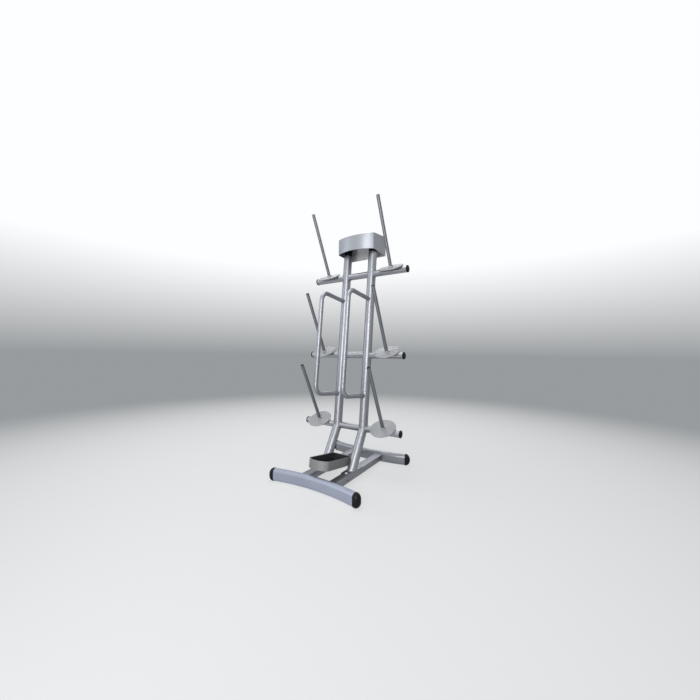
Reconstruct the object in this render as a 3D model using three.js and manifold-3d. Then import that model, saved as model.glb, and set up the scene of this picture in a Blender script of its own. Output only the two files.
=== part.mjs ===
// Studio barbell storage rack: a leaning mast on a bowed two-foot base, three cross tubes with
// six plate seats, two side guards that keep the bars apart, a header that holds the bars' tops
// and a rubber-lined tray that holds their lower ends.
// Millimetres. +Z is up, +X is the rack's right, the bars are loaded from -Y.
// The origin lies on the floor under the middle of the base.

import * as THREE from 'three';
import { mergeVertices } from 'three/addons/utils/BufferGeometryUtils.js';
import Module from 'manifold-3d';

const wasm = await Module();
wasm.setup();

// General fits
const gap = 0.3;
const overrun = 6;

// Mast and legs
const mastSpacing = 206;
const mainTubeDiameter = 60;
const mainTubeWall = 2.5;
const mastLeanDegrees = 5.1;
const mastLength = 1227;
const legLeanDegrees = 31;
const kinkHeight = 294;
const kinkBehindCentre = 63;

// Cross tubes and their end caps
const crossTubeDiameter = 45;
const crossTubeWall = 2;
const crossTubeLength = 732;
const topTubeBelowMastTop = 160;
const middleTubeBelowTopTube = 574;
const crossCapProud = 1.5;
const crossCapRim = 8;
const crossCapDome = 6;
const crossCapSpigot = 14;
const crossCapCrownShare = 0.8;

// Plate seats and pins
const seatInsetFromTubeEnd = 112;
const seatDiameter = 170;
const seatThickness = 6;
const seatEdge = 1.5;
const bossDiameter = 34;
const bossHeight = 9;
const bossEdge = 2;
const pinTiltDegrees = 32.4;
const pinDiameter = 22;
const pinWall = 2;
const pinReach = 471;
const pinCapProud = 0.8;
const pinCapRim = 2;
const pinCapDome = 2.5;
const pinCapSpigot = 14;
const pinCapCrownShare = 0.7;

// Side guards
const guardDiameter = 28;
const guardWall = 2;
const guardReach = 281;
const guardBend = 60;
const guardBottomAlongMast = 217;
const guardTopBelowTopTube = 184;

// Header
const headerWidth = 292;
const headerDepth = 186;
const headerBow = 46;
const headerWall = 2.5;
const headerFrontHeight = 111;
const headerRearHeight = 143;
const headerCornerAheadOfMast = 66;
const lidThickness = 2.5;
const lidInset = 1;
const plugSpigot = 30;
const headerScrewDiameter = 8;
const headerScrewHead = 18;
const headerScrewHeadHeight = 5;
const headerScrewGrip = 30;

// Tray between the legs
const trayBoltHeight = 104;
const trayTiltDegrees = 8.8;
const trayFrontReach = 234;
const trayRearMargin = 20;
const trayBow = 33;
const trayHeight = 54;
const trayWall = 3;
const trayFloorThickness = 3;
const linerWall = 3;
const linerFloor = 5;
const linerDrop = 3;
const trayBoltDiameter = 8;
const trayBoltHead = 16;
const trayBoltHeadHeight = 4;
const trayBoltGrip = 8;

// Base rails and the plates that the legs stand on
const railWidth = 60;
const railHeight = 40;
const railWall = 2.5;
const basePlateLength = 172;
const basePlateThickness = 5;
const baseBoltSpacing = 136;
const baseBoltDiameter = 10;
const baseBoltHead = 19;
const baseBoltHeadHeight = 6;
const baseBoltGrip = 12;
const accessHoleDiameter = 12;
const accessHoleAheadOfBolt = 32;

// Feet
const footSpread = 698;
const footSpan = 580;
const footBow = 35;
const footHeight = 76;
const footWidth = 44;
const footWall = 2.5;
const footCapProud = 2;
const footCapFlat = 1.5;
const footCapStraight = 6;
const footCapDome = 30;
const footCapCrownShare = 0.3;
const footCapSpigot = 26;

// Facets of the round forms
const mainSides = 32;
const crossSides = 24;
const seatSides = 32;
const pinSides = 16;
const guardSides = 16;
const guardBoreSides = 10;
const boltSides = 12;
const bendSteps = 6;
const footSteps = 10;
const footArcSides = 8;
const capRings = 3;
const footCapRings = 4;
const bowSides = 16;

// Angles and places that follow from the sizes above
const mastLean = THREE.MathUtils.degToRad(mastLeanDegrees);
const legLean = THREE.MathUtils.degToRad(legLeanDegrees);
const pinTilt = THREE.MathUtils.degToRad(pinTiltDegrees);
const trayTilt = THREE.MathUtils.degToRad(trayTiltDegrees);
const kinkHalfAngle = (legLean - mastLean) / 2;
const quarterTurn = Math.PI / 2;
const topTubeAlongMast = mastLength - topTubeBelowMastTop;
const middleTubeAlongMast = topTubeAlongMast - middleTubeBelowTopTube;
const guardTopAlongMast = topTubeAlongMast - guardTopBelowTopTube;
const seatSpacing = crossTubeLength - 2 * seatInsetFromTubeEnd;
const mastTop = {
  y: kinkBehindCentre + mastLength * Math.sin(mastLean),
  z: kinkHeight + mastLength * Math.cos(mastLean),
};
const footCentreHeight = footHeight / 2 + footCapProud - footCapFlat;
const railTop = footCentreHeight + railHeight / 2;
const basePlateTop = railTop + gap + basePlateThickness;
const legFootY = kinkBehindCentre - (kinkHeight - basePlateTop) * Math.tan(legLean);
const trayBoltAlongLeg = (kinkHeight - trayBoltHeight) / Math.cos(legLean);
const trayBoltY = kinkBehindCentre - (kinkHeight - trayBoltHeight) * Math.tan(legLean);
const trayWidth = mastSpacing - mainTubeDiameter - 2 * gap;
const footRadius = ((footSpan / 2) ** 2 + footBow ** 2) / (2 * footBow);
const footHalfAngle = Math.asin(footSpan / 2 / footRadius);
const footMiddleY = -(footSpread / 2 - footBow);
const footBendAtCap = footCapSpigot * Math.sin(footHalfAngle / footSteps);

// Finishes
const finishes = {
  silver: { color: 0xb4b8c0, roughness: 0.38, metalness: 0.65 },
  seat: { color: 0xb0b4b8, roughness: 0.5, metalness: 0.55 },
  header: { color: 0xbcc0c6, roughness: 0.42, metalness: 0.6 },
  tray: { color: 0xc6c6c8, roughness: 0.45, metalness: 0.5 },
  blackPlastic: { color: 0x15171a, roughness: 0.45, metalness: 0 },
  rubber: { color: 0x101214, roughness: 0.85, metalness: 0 },
  zinc: { color: 0xa8acb0, roughness: 0.35, metalness: 0.9 },
};

// Solids from geometries

/** Gives a closed geometry as a solid that can be joined and cut. */
function toSolid(geometry) {
  const bare = geometry.clone();
  bare.deleteAttribute('normal');
  bare.deleteAttribute('uv');
  const merged = mergeVertices(bare);
  const index = merged.getIndex().array;
  const triangles = [];
  for (let i = 0; i < index.length; i += 3) {
    const [a, b, c] = [index[i], index[i + 1], index[i + 2]];
    if (a !== b && b !== c && c !== a) {
      triangles.push(a, b, c);
    }
  }
  return new wasm.Manifold(new wasm.Mesh({
    numProp: 3,
    vertProperties: new Float32Array(merged.getAttribute('position').array),
    triVerts: new Uint32Array(triangles),
  }));
}

/** Gives a solid back as a geometry. */
function toGeometry(solid) {
  const mesh = solid.getMesh();
  const geometry = new THREE.BufferGeometry();
  geometry.setAttribute('position', new THREE.BufferAttribute(new Float32Array(mesh.vertProperties), 3));
  geometry.setIndex(new THREE.BufferAttribute(new Uint32Array(mesh.triVerts), 1));
  geometry.computeVertexNormals();
  return geometry;
}

/** A round bar along +Z that starts at z = from. */
function rod(diameter, from, to, sides) {
  const length = to - from;
  return new THREE.CylinderGeometry(diameter / 2, diameter / 2, length, sides)
    .rotateX(quarterTurn)
    .translate(0, 0, from + length / 2);
}

/** A round tube along +Z. */
function tube(diameter, wall, from, to, sides) {
  const bore = rod(diameter - 2 * wall, from - overrun, to + overrun, sides);
  return toSolid(rod(diameter, from, to, sides)).subtract(toSolid(bore));
}

/** A block with its middle at the origin. */
function block(x, y, z) {
  return new THREE.BoxGeometry(x, y, z);
}

/** A form turned about +Z; the profile runs anticlockwise as [radius, z] pairs. */
function turned(profile, sides) {
  const points = profile.map(([radius, z]) => new THREE.Vector2(radius, z));
  return new THREE.LatheGeometry(points, sides).rotateX(quarterTurn);
}

/** A screw along -Z with a domed head that bears on z = 0. */
function screw(diameter, head, headHeight, length) {
  const rimShare = 0.35;
  const crownShare = 0.6;
  return toSolid(turned([
    [0, -length],
    [diameter / 2, -length],
    [diameter / 2, gap],
    [head / 2, gap],
    [head / 2, gap + headHeight * rimShare],
    [head / 2 * crownShare, gap + headHeight],
    [0, gap + headHeight],
  ], boltSides));
}

/** A push-in cap for a tube that ends at z = 0. */
function tubeCap({ diameter, wall, proud, rim, dome, spigot, crownShare, sides }) {
  const flange = diameter / 2 + proud;
  const plug = diameter / 2 - wall - gap;
  return toSolid(turned([
    [0, -spigot],
    [plug, -spigot],
    [plug, gap],
    [flange, gap],
    [flange, gap + rim],
    [flange * crownShare, gap + rim + dome * crownShare],
    [0, gap + rim + dome],
  ], sides));
}

/** The path of a bent bar: stations with a point and a direction at each. */
class StationPath extends THREE.Curve {
  constructor(stations) {
    super();
    this.stations = stations;
  }

  station(share) {
    return this.stations[Math.round(share * (this.stations.length - 1))];
  }

  getPointAt(share) {
    return this.station(share).point.clone();
  }

  getTangentAt(share) {
    return this.station(share).direction.clone();
  }
}

/** The arc of a foot in plan, its ends towards -Y and run out straight by an extra length. */
function footPath(extra) {
  const stations = [];
  for (let i = 0; i <= footSteps; i += 1) {
    const turn = footHalfAngle * (2 * i / footSteps - 1);
    stations.push({
      point: new THREE.Vector3(
        footRadius * Math.sin(turn),
        footMiddleY + footRadius * (Math.cos(turn) - 1),
        footCentreHeight,
      ),
      direction: new THREE.Vector3(Math.cos(turn), -Math.sin(turn), 0),
    });
  }
  if (extra > 0) {
    const first = stations[0];
    const last = stations[footSteps];
    stations.unshift({
      point: first.point.clone().addScaledVector(first.direction, -extra),
      direction: first.direction,
    });
    stations.push({
      point: last.point.clone().addScaledVector(last.direction, extra),
      direction: last.direction,
    });
  }
  return new StationPath(stations);
}

/** A solid bar of one section along a path. */
function swept(shape, path, arcSides) {
  return toSolid(new THREE.ExtrudeGeometry(shape, {
    extrudePath: path,
    steps: path.stations.length - 1,
    curveSegments: arcSides / 2,
  }));
}

/** A flat-sided oval with its long way along the first axis. */
function ovalShape(height, width) {
  const straight = (height - width) / 2;
  const shape = new THREE.Shape();
  shape.absarc(straight, 0, width / 2, -quarterTurn, quarterTurn, false);
  shape.absarc(-straight, 0, width / 2, quarterTurn, 3 * quarterTurn, false);
  shape.closePath();
  return shape;
}

/** The solid outline of a foot tube, grown all round by a margin. */
function footBar(margin) {
  const shape = ovalShape(footHeight + 2 * margin, footWidth + 2 * margin);
  return swept(shape, footPath(0), footArcSides);
}

/** A plan outline with straight sides, a flat rear and a front bowed towards -Y, drawn inset. */
function bowedOutline({ width, rear, corner, bow, inset }) {
  const radius = ((width / 2) ** 2 + bow ** 2) / (2 * bow);
  const centre = corner - bow + radius;
  const side = width / 2 - inset;
  const reach = radius - inset;
  const turn = Math.asin(side / reach);
  const shape = new THREE.Shape();
  shape.moveTo(side, rear - inset);
  shape.lineTo(-side, rear - inset);
  shape.absarc(0, centre, reach, -quarterTurn - turn, -quarterTurn + turn, false);
  shape.closePath();
  return shape;
}

/** A bowed outline raised from z = from to z = to. */
function bowedColumn(outline, from, to) {
  const geometry = new THREE.ExtrudeGeometry(bowedOutline(outline), {
    depth: to - from,
    bevelEnabled: false,
    curveSegments: bowSides / 2,
  });
  return toSolid(geometry.translate(0, 0, from));
}

// Assembly helpers

const rack = new THREE.Group();

/** Adds one named piece to a group. */
function addPiece(group, name, solid, finish, position = [0, 0, 0], turn = [0, 0, 0]) {
  const mesh = new THREE.Mesh(toGeometry(solid), new THREE.MeshStandardMaterial(finishes[finish]));
  mesh.name = name;
  mesh.position.set(...position);
  mesh.rotation.set(...turn);
  group.add(mesh);
  return mesh;
}

/** Adds an unnamed frame of reference to a group. */
function addFrame(group, position, turn = [0, 0, 0]) {
  const frame = new THREE.Group();
  frame.position.set(...position);
  frame.rotation.set(...turn);
  group.add(frame);
  return frame;
}

const sides = [{ word: 'left', sign: -1 }, { word: 'right', sign: 1 }];
const rows = [
  { word: 'lower', alongMast: 0 },
  { word: 'middle', alongMast: middleTubeAlongMast },
  { word: 'top', alongMast: topTubeAlongMast },
];

// Mast frame: origin at the kink, +Z up along the leaning tubes
const mast = addFrame(rack, [0, kinkBehindCentre, kinkHeight], [-mastLean, 0, 0]);

// The header's top slopes up to the rear; its frame stands level on the mast's top
const headerCorner = -headerCornerAheadOfMast;
const headerRear = headerCorner + headerDepth;
const headerSlope = Math.atan2(headerRearHeight - headerFrontHeight, headerDepth);
const headerCutSize = 2 * (headerWidth + headerDepth + headerBow + headerRearHeight);

/** All that lies above the header's sloping top, lowered square to it by a depth. */
function aboveSlope(depth) {
  return block(headerCutSize, headerCutSize, headerCutSize)
    .translate(0, 0, headerCutSize / 2 - depth)
    .rotateX(headerSlope)
    .translate(0, headerCorner, headerFrontHeight);
}

/** All that lies below the header's sloping top, lowered square to it by a depth. */
function belowSlope(depth) {
  return block(headerCutSize, headerCutSize, headerCutSize)
    .translate(0, 0, -headerCutSize / 2 - depth)
    .rotateX(headerSlope)
    .translate(0, headerCorner, headerFrontHeight);
}

/** How far along the mast's axis, past its top, the header's lid has its upper face. */
function lidAlongMast() {
  const rise = Math.tan(headerSlope);
  const level = headerFrontHeight - headerCorner * rise - lidInset / Math.cos(headerSlope);
  return level / (Math.cos(mastLean) - Math.sin(mastLean) * rise);
}

/** A hole for a header screw, square to the lid, its middle on the lid's upper face. */
function headerScrewHole() {
  const reach = headerScrewGrip + overrun;
  return rod(headerScrewDiameter + 2 * gap, -reach, overrun, boltSides);
}

/** The leaning tubes, mitred to the legs and bored for the cross tubes. */
function makeUpright() {
  const start = -mainTubeDiameter / 2;
  const cutSize = 2 * mainTubeDiameter;
  const mitre = block(cutSize, cutSize, cutSize)
    .translate(0, 0, (gap - cutSize) / 2)
    .rotateX(-kinkHalfAngle);
  let upright = tube(mainTubeDiameter, mainTubeWall, start, mastLength, mainSides).subtract(toSolid(mitre));
  for (const { alongMast } of rows) {
    upright = upright.subtract(crossBore().translate([0, 0, alongMast]));
  }
  return upright;
}

/** The bore that a cross tube passes through, along X. */
function crossBore() {
  const reach = mainTubeDiameter / 2 + overrun;
  return toSolid(rod(crossTubeDiameter + 2 * gap, -reach, reach, crossSides).rotateY(quarterTurn));
}

/** A leg below the kink, cut level on its base plate. */
function makeLeg(sign) {
  const drop = kinkHeight - basePlateTop - gap;
  const length = drop / Math.cos(legLean) + mainTubeDiameter;
  const cutSize = 2 * mainTubeDiameter;
  const mitre = block(cutSize, cutSize, cutSize)
    .translate(0, 0, (cutSize - gap) / 2)
    .rotateX(kinkHalfAngle);
  const floorCut = block(2 * length, 2 * length, 2 * length)
    .translate(0, 0, -drop - length)
    .rotateX(legLean);
  const boltHole = rod(trayBoltDiameter + 2 * gap, 0, mainTubeDiameter / 2 + overrun, boltSides)
    .rotateY(-sign * quarterTurn)
    .translate(0, 0, -trayBoltAlongLeg);
  return tube(mainTubeDiameter, mainTubeWall, -length, mainTubeDiameter / 2, mainSides)
    .subtract(toSolid(mitre))
    .subtract(crossBore())
    .subtract(toSolid(floorCut))
    .subtract(toSolid(boltHole));
}

/** The black sleeve on top of an upright, cut to the slope of the header's lid. */
function makeUprightPlug() {
  const top = lidAlongMast();
  const body = toSolid(rod(mainTubeDiameter, gap, top + mainTubeDiameter, mainSides));
  const spigot = rod(mainTubeDiameter - 2 * (mainTubeWall + gap), -plugSpigot, overrun, mainSides);
  const under = aboveSlope(lidInset + lidThickness + gap).rotateX(mastLean);
  const hole = headerScrewHole().rotateX(headerSlope + mastLean).translate(0, 0, top);
  return body.add(toSolid(spigot)).subtract(toSolid(under)).subtract(toSolid(hole));
}

/** A cross tube along X, bored in its upper wall for its two pins. */
function makeCrossTube() {
  let bar = tube(crossTubeDiameter, crossTubeWall, -crossTubeLength / 2, crossTubeLength / 2, crossSides);
  bar = bar.rotate([0, 90, 0]);
  for (const { sign } of sides) {
    const bore = rod(pinDiameter + 2 * gap, 0, crossTubeDiameter / 2 + overrun, pinSides)
      .rotateX(pinTilt)
      .translate(sign * seatSpacing / 2, 0, 0);
    bar = bar.subtract(toSolid(bore));
  }
  return bar;
}

/** A round plate seat with its boss, bored for the pin. */
function makeSeat() {
  const low = crossTubeDiameter / 2 + gap;
  const high = low + seatThickness;
  const bore = pinDiameter / 2 + gap;
  return toSolid(turned([
    [bore, low],
    [seatDiameter / 2, low],
    [seatDiameter / 2, high - seatEdge],
    [seatDiameter / 2 - seatEdge, high],
    [bossDiameter / 2, high],
    [bossDiameter / 2, high + bossHeight - bossEdge],
    [bossDiameter / 2 - bossEdge, high + bossHeight],
    [bore, high + bossHeight],
    [bore, low],
  ], seatSides));
}

/** A tubular pin that stands on the inside of the cross tube's lower wall. */
function makePin() {
  const boreRadius = crossTubeDiameter / 2 - crossTubeWall;
  const seat = -Math.sqrt(boreRadius ** 2 - (pinDiameter / 2) ** 2) + gap;
  return tube(pinDiameter, pinWall, seat, pinReach, pinSides);
}

/** The way of a guard from the side: forward, down and back, begun an extra length behind the axis. */
function guardPath(extra) {
  const straight = guardReach - guardBend;
  const stations = [];
  const addStation = (y, z, turn) => stations.push({
    point: new THREE.Vector3(0, y, z),
    direction: new THREE.Vector3(0, -Math.cos(turn), -Math.sin(turn)),
  });
  addStation(extra, guardTopAlongMast, 0);
  for (const [centre, first] of [
    [guardTopAlongMast - guardBend, 0],
    [guardBottomAlongMast + guardBend, quarterTurn],
  ]) {
    for (let i = 0; i <= bendSteps; i += 1) {
      const turn = first + quarterTurn * i / bendSteps;
      addStation(-straight - guardBend * Math.sin(turn), centre + guardBend * Math.cos(turn), turn);
    }
  }
  addStation(extra, guardBottomAlongMast, 2 * quarterTurn);
  return new StationPath(stations);
}

/** A bent guard with its two ends coped to the upright. */
function makeGuard() {
  const shape = new THREE.Shape();
  shape.absarc(0, 0, guardDiameter / 2, 0, 4 * quarterTurn, false);
  const bar = swept(shape, guardPath(0), guardSides);
  const hollow = new THREE.Shape();
  hollow.absarc(0, 0, guardDiameter / 2 - guardWall, 0, 4 * quarterTurn, false);
  const bore = swept(hollow, guardPath(overrun), guardBoreSides);
  const coping = rod(
    mainTubeDiameter + 2 * gap,
    guardBottomAlongMast - guardDiameter,
    guardTopAlongMast + guardDiameter,
    mainSides,
  );
  return bar.subtract(bore).subtract(toSolid(coping));
}

/** The header's front and side walls in one folded sheet, open below and behind. */
function makeHeaderShell() {
  const outline = { width: headerWidth, corner: headerCorner, bow: headerBow };
  const outer = bowedColumn({ ...outline, rear: headerRear, inset: 0 }, 0, headerRearHeight);
  const inner = bowedColumn(
    { ...outline, rear: headerRear + 2 * overrun, inset: headerWall },
    -overrun,
    headerRearHeight + overrun,
  );
  return outer.subtract(inner).subtract(toSolid(aboveSlope(0)));
}

/** The flat panel between the rear edges of the header's side walls. */
function makeHeaderBack() {
  const width = headerWidth - 2 * (headerWall + gap);
  const panel = block(width, headerWall, headerRearHeight)
    .translate(0, headerRear - headerWall / 2, headerRearHeight / 2);
  return toSolid(panel).subtract(toSolid(aboveSlope(0)));
}

/** The sloping lid between the header's walls, bored for its screws. */
function makeHeaderLid() {
  const column = bowedColumn({
    width: headerWidth,
    corner: headerCorner,
    bow: headerBow,
    rear: headerRear,
    inset: headerWall + gap,
  }, 0, headerRearHeight + overrun);
  let lid = column
    .subtract(toSolid(aboveSlope(lidInset)))
    .subtract(toSolid(belowSlope(lidInset + lidThickness)));
  for (const { sign } of sides) {
    const hole = headerScrewHole().rotateX(headerSlope).translate(...headerScrewPlace(sign));
    lid = lid.subtract(toSolid(hole));
  }
  return lid;
}

/** Where a header screw's head bears on the lid, in the header's frame. */
function headerScrewPlace(sign) {
  const along = lidAlongMast();
  return [sign * mastSpacing / 2, along * Math.sin(mastLean), along * Math.cos(mastLean)];
}

/** The tray's plan, drawn inset from its outer face. */
function trayOutline(inset) {
  return { width: trayWidth, corner: -trayFrontReach, bow: trayBow, rear: trayRearMargin, inset };
}

/** Two bolt holes along X through the tray's side walls. */
function trayBoltBore() {
  const reach = trayWidth / 2 + overrun;
  return toSolid(rod(trayBoltDiameter + 2 * gap, -reach, reach, boltSides).rotateY(quarterTurn));
}

/** The tray's wall, one closed band of bent strip. */
function makeTrayBand() {
  const low = -trayHeight / 2;
  const high = trayHeight / 2;
  return bowedColumn(trayOutline(0), low, high)
    .subtract(bowedColumn(trayOutline(trayWall), low - overrun, high + overrun))
    .subtract(trayBoltBore());
}

/** The tray's steel floor, set inside the band at its lower edge. */
function makeTrayFloor() {
  const low = -trayHeight / 2;
  return bowedColumn(trayOutline(trayWall + gap), low, low + trayFloorThickness);
}

/** The rubber tub that lines the tray. */
function makeTrayLiner() {
  const low = -trayHeight / 2 + trayFloorThickness + gap;
  const high = trayHeight / 2;
  return bowedColumn(trayOutline(trayWall + gap), low, high - linerDrop)
    .subtract(bowedColumn(trayOutline(trayWall + gap + linerWall), low + linerFloor, high + overrun))
    .subtract(trayBoltBore());
}

/** A base rail of box tube, coped to both feet and bored for its bolts. */
function makeRail(sign) {
  const length = footSpread;
  const bore = block(railWidth - 2 * railWall, length + overrun, railHeight - 2 * railWall);
  const place = [sign * mastSpacing / 2, 0, footCentreHeight];
  const feet = footBar(gap).add(footBar(gap).rotate([0, 0, 180]));
  let rail = toSolid(block(railWidth, length, railHeight))
    .subtract(toSolid(bore))
    .translate(place)
    .subtract(feet)
    .decompose()
    .find((piece) => Math.abs(middleOf(piece).y) < footSpread / 2 - footBow - footWidth);
  for (const along of [-1, 1]) {
    const hole = baseBoltHole().translate(place[0], legFootY + along * baseBoltSpacing / 2, railTop);
    rail = rail.subtract(toSolid(hole));
  }
  const access = rod(accessHoleDiameter, 0, railWidth / 2 + overrun, boltSides)
    .rotateY(sign * quarterTurn)
    .translate(place[0], legFootY - baseBoltSpacing / 2 - accessHoleAheadOfBolt, footCentreHeight);
  return rail.subtract(toSolid(access));
}

/** The middle of a solid's box. */
function middleOf(solid) {
  const { min, max } = solid.boundingBox();
  return { x: (min[0] + max[0]) / 2, y: (min[1] + max[1]) / 2, z: (min[2] + max[2]) / 2 };
}

/** A hole for a base bolt, down from z = 0. */
function baseBoltHole() {
  return rod(baseBoltDiameter + 2 * gap, -railWall - overrun, basePlateThickness + overrun, boltSides);
}

/** The plate welded under a leg and bolted to its rail. */
function makeBasePlate() {
  let plate = toSolid(block(railWidth, basePlateLength, basePlateThickness)
    .translate(0, 0, basePlateThickness / 2));
  for (const along of [-1, 1]) {
    plate = plate.subtract(toSolid(baseBoltHole().translate(0, along * baseBoltSpacing / 2, 0)));
  }
  return plate;
}

/** A foot: a flat-sided oval tube bowed in plan. */
function makeFoot() {
  const hollow = ovalShape(footHeight - 2 * footWall, footWidth - 2 * footWall);
  return footBar(0).subtract(swept(hollow, footPath(overrun), footArcSides));
}

/** The domed cap on a foot's end, flat beneath; +Z runs out of the tube and +X is up. */
function makeFootCap() {
  const outline = ovalShape(footHeight + 2 * footCapProud, footWidth + 2 * footCapProud)
    .getPoints(footArcSides / 2);
  const steepest = Math.acos(footCapCrownShare);
  const levels = [{ share: 1, height: gap }];
  for (let ring = 0; ring <= footCapRings; ring += 1) {
    const steep = steepest * ring / footCapRings;
    levels.push({
      share: Math.cos(steep),
      height: footCapStraight + footCapDome * Math.sin(steep) / Math.sin(steepest),
    });
  }
  const points = levels.flatMap(({ share, height }) => (
    outline.map((point) => [share * point.x, share * point.y, height])
  ));
  const size = 2 * footHeight;
  const beneath = block(size, size, size).translate(-footCentreHeight - size / 2, 0, 0);
  const spigotShape = ovalShape(
    footHeight - 2 * (footWall + gap),
    footWidth - 2 * (footWall + gap + footBendAtCap),
  );
  const spigot = new THREE.ExtrudeGeometry(spigotShape, {
    depth: footCapSpigot + footCapStraight,
    bevelEnabled: false,
    curveSegments: footArcSides / 2,
  }).translate(0, 0, -footCapSpigot);
  return wasm.Manifold.hull(points)
    .subtract(toSolid(beneath))
    .add(toSolid(spigot));
}

// Mast pieces
const crossTube = makeCrossTube();
const seat = makeSeat();
const pin = makePin();
const crossCap = tubeCap({
  diameter: crossTubeDiameter,
  wall: crossTubeWall,
  proud: crossCapProud,
  rim: crossCapRim,
  dome: crossCapDome,
  spigot: crossCapSpigot,
  crownShare: crossCapCrownShare,
  sides: crossSides,
});
const pinCap = tubeCap({
  diameter: pinDiameter,
  wall: pinWall,
  proud: pinCapProud,
  rim: pinCapRim,
  dome: pinCapDome,
  spigot: pinCapSpigot,
  crownShare: pinCapCrownShare,
  sides: pinSides,
});
for (const { word, sign } of sides) {
  const x = sign * mastSpacing / 2;
  addPiece(mast, `upright_${word}`, makeUpright(), 'silver', [x, 0, 0]);
  addPiece(mast, `upright_plug_${word}`, makeUprightPlug(), 'blackPlastic', [x, 0, mastLength]);
  addPiece(mast, `bar_guard_${word}`, makeGuard(), 'silver', [x, 0, 0]);
}
for (const row of rows) {
  addPiece(mast, `cross_tube_${row.word}`, crossTube, 'silver', [0, 0, row.alongMast]);
  for (const { word, sign } of sides) {
    const label = `${row.word}_${word}`;
    const end = [sign * crossTubeLength / 2, 0, row.alongMast];
    addPiece(mast, `cross_tube_cap_${label}`, crossCap, 'blackPlastic', end, [0, sign * quarterTurn, 0]);
    const station = addFrame(mast, [sign * seatSpacing / 2, 0, row.alongMast], [pinTilt, 0, 0]);
    addPiece(station, `plate_seat_${label}`, seat, 'seat');
    addPiece(station, `plate_pin_${label}`, pin, 'silver');
    addPiece(station, `pin_cap_${label}`, pinCap, 'blackPlastic', [0, 0, pinReach]);
  }
}

// Legs
const legs = addFrame(rack, [0, kinkBehindCentre, kinkHeight], [-legLean, 0, 0]);
for (const { word, sign } of sides) {
  addPiece(legs, `leg_${word}`, makeLeg(sign), 'silver', [sign * mastSpacing / 2, 0, 0]);
}

// Header
const header = addFrame(rack, [0, mastTop.y, mastTop.z]);
addPiece(header, 'header_shell', makeHeaderShell(), 'header');
addPiece(header, 'header_back', makeHeaderBack(), 'header');
addPiece(header, 'header_lid', makeHeaderLid(), 'header');
const headerScrew = screw(
  headerScrewDiameter,
  headerScrewHead,
  headerScrewHeadHeight,
  headerScrewGrip,
);
for (const { word, sign } of sides) {
  addPiece(header, `header_screw_${word}`, headerScrew, 'zinc', headerScrewPlace(sign), [headerSlope, 0, 0]);
}

// Tray
const tray = addFrame(rack, [0, trayBoltY, trayBoltHeight], [-trayTilt, 0, 0]);
addPiece(tray, 'tray_band', makeTrayBand(), 'tray');
addPiece(tray, 'tray_floor', makeTrayFloor(), 'tray');
addPiece(tray, 'tray_liner', makeTrayLiner(), 'rubber');
const trayBoltSeat = trayWidth / 2 - trayWall - gap - linerWall;
const trayBolt = screw(
  trayBoltDiameter,
  trayBoltHead,
  trayBoltHeadHeight,
  trayWidth / 2 - trayBoltSeat + gap + mainTubeWall + trayBoltGrip,
);
for (const { word, sign } of sides) {
  const place = [sign * trayBoltSeat, 0, 0];
  addPiece(tray, `tray_bolt_${word}`, trayBolt, 'zinc', place, [0, -sign * quarterTurn, 0]);
}

// Base
const basePlate = makeBasePlate();
const baseBolt = screw(
  baseBoltDiameter,
  baseBoltHead,
  baseBoltHeadHeight,
  basePlateThickness + gap + railWall + baseBoltGrip,
);
for (const { word, sign } of sides) {
  const x = sign * mastSpacing / 2;
  addPiece(rack, `base_rail_${word}`, makeRail(sign), 'silver');
  addPiece(rack, `base_plate_${word}`, basePlate, 'silver', [x, legFootY, railTop + gap]);
  for (const [end, along] of [['front', -1], ['rear', 1]]) {
    const place = [x, legFootY + along * baseBoltSpacing / 2, basePlateTop];
    addPiece(rack, `base_bolt_${end}_${word}`, baseBolt, 'zinc', place);
  }
}

// Feet: the rear foot is the front one turned about
const foot = makeFoot();
const footCap = makeFootCap();
for (const [end, turn] of [['front', 0], ['rear', 2 * quarterTurn]]) {
  const base = addFrame(rack, [0, 0, 0], [0, 0, turn]);
  addPiece(base, `foot_${end}`, foot, 'silver');
  for (const [word, sign] of [['left', end === 'front' ? -1 : 1], ['right', end === 'front' ? 1 : -1]]) {
    const outward = new THREE.Vector3(
      sign * Math.cos(footHalfAngle),
      -Math.sin(footHalfAngle),
      0,
    );
    const place = [sign * footSpan / 2, footMiddleY - footBow, footCentreHeight];
    const cap = addPiece(base, `foot_cap_${end}_${word}`, footCap, 'blackPlastic', place);
    const up = new THREE.Vector3(0, 0, 1);
    const across = new THREE.Vector3().crossVectors(outward, up);
    cap.quaternion.setFromRotationMatrix(new THREE.Matrix4().makeBasis(up, across, outward));
  }
}

export default rack;
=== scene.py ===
"""Looks of a studio barbell storage rack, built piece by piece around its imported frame.

The rack's sizes are in millimetres, the studio's are in metres, and angles are in radians.
"""

import logging
import math
from dataclasses import dataclass, field
from enum import Enum
from typing import Any, Callable, Iterable, Sequence

import bmesh
import bpy
from mathutils import Matrix, Vector


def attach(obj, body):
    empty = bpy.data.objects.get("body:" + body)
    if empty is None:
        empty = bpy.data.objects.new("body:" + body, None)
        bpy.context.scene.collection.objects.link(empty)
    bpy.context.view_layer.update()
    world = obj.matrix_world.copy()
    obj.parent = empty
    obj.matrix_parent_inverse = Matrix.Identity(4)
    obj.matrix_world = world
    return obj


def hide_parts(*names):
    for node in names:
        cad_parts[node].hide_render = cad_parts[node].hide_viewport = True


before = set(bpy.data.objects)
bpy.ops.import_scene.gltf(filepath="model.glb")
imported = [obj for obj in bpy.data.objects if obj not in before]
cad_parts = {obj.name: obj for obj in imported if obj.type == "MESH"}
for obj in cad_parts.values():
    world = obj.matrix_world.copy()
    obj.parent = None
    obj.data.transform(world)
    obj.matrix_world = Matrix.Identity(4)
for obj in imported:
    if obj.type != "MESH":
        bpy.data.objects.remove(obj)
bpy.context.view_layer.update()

log = logging.getLogger("rack")

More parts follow.
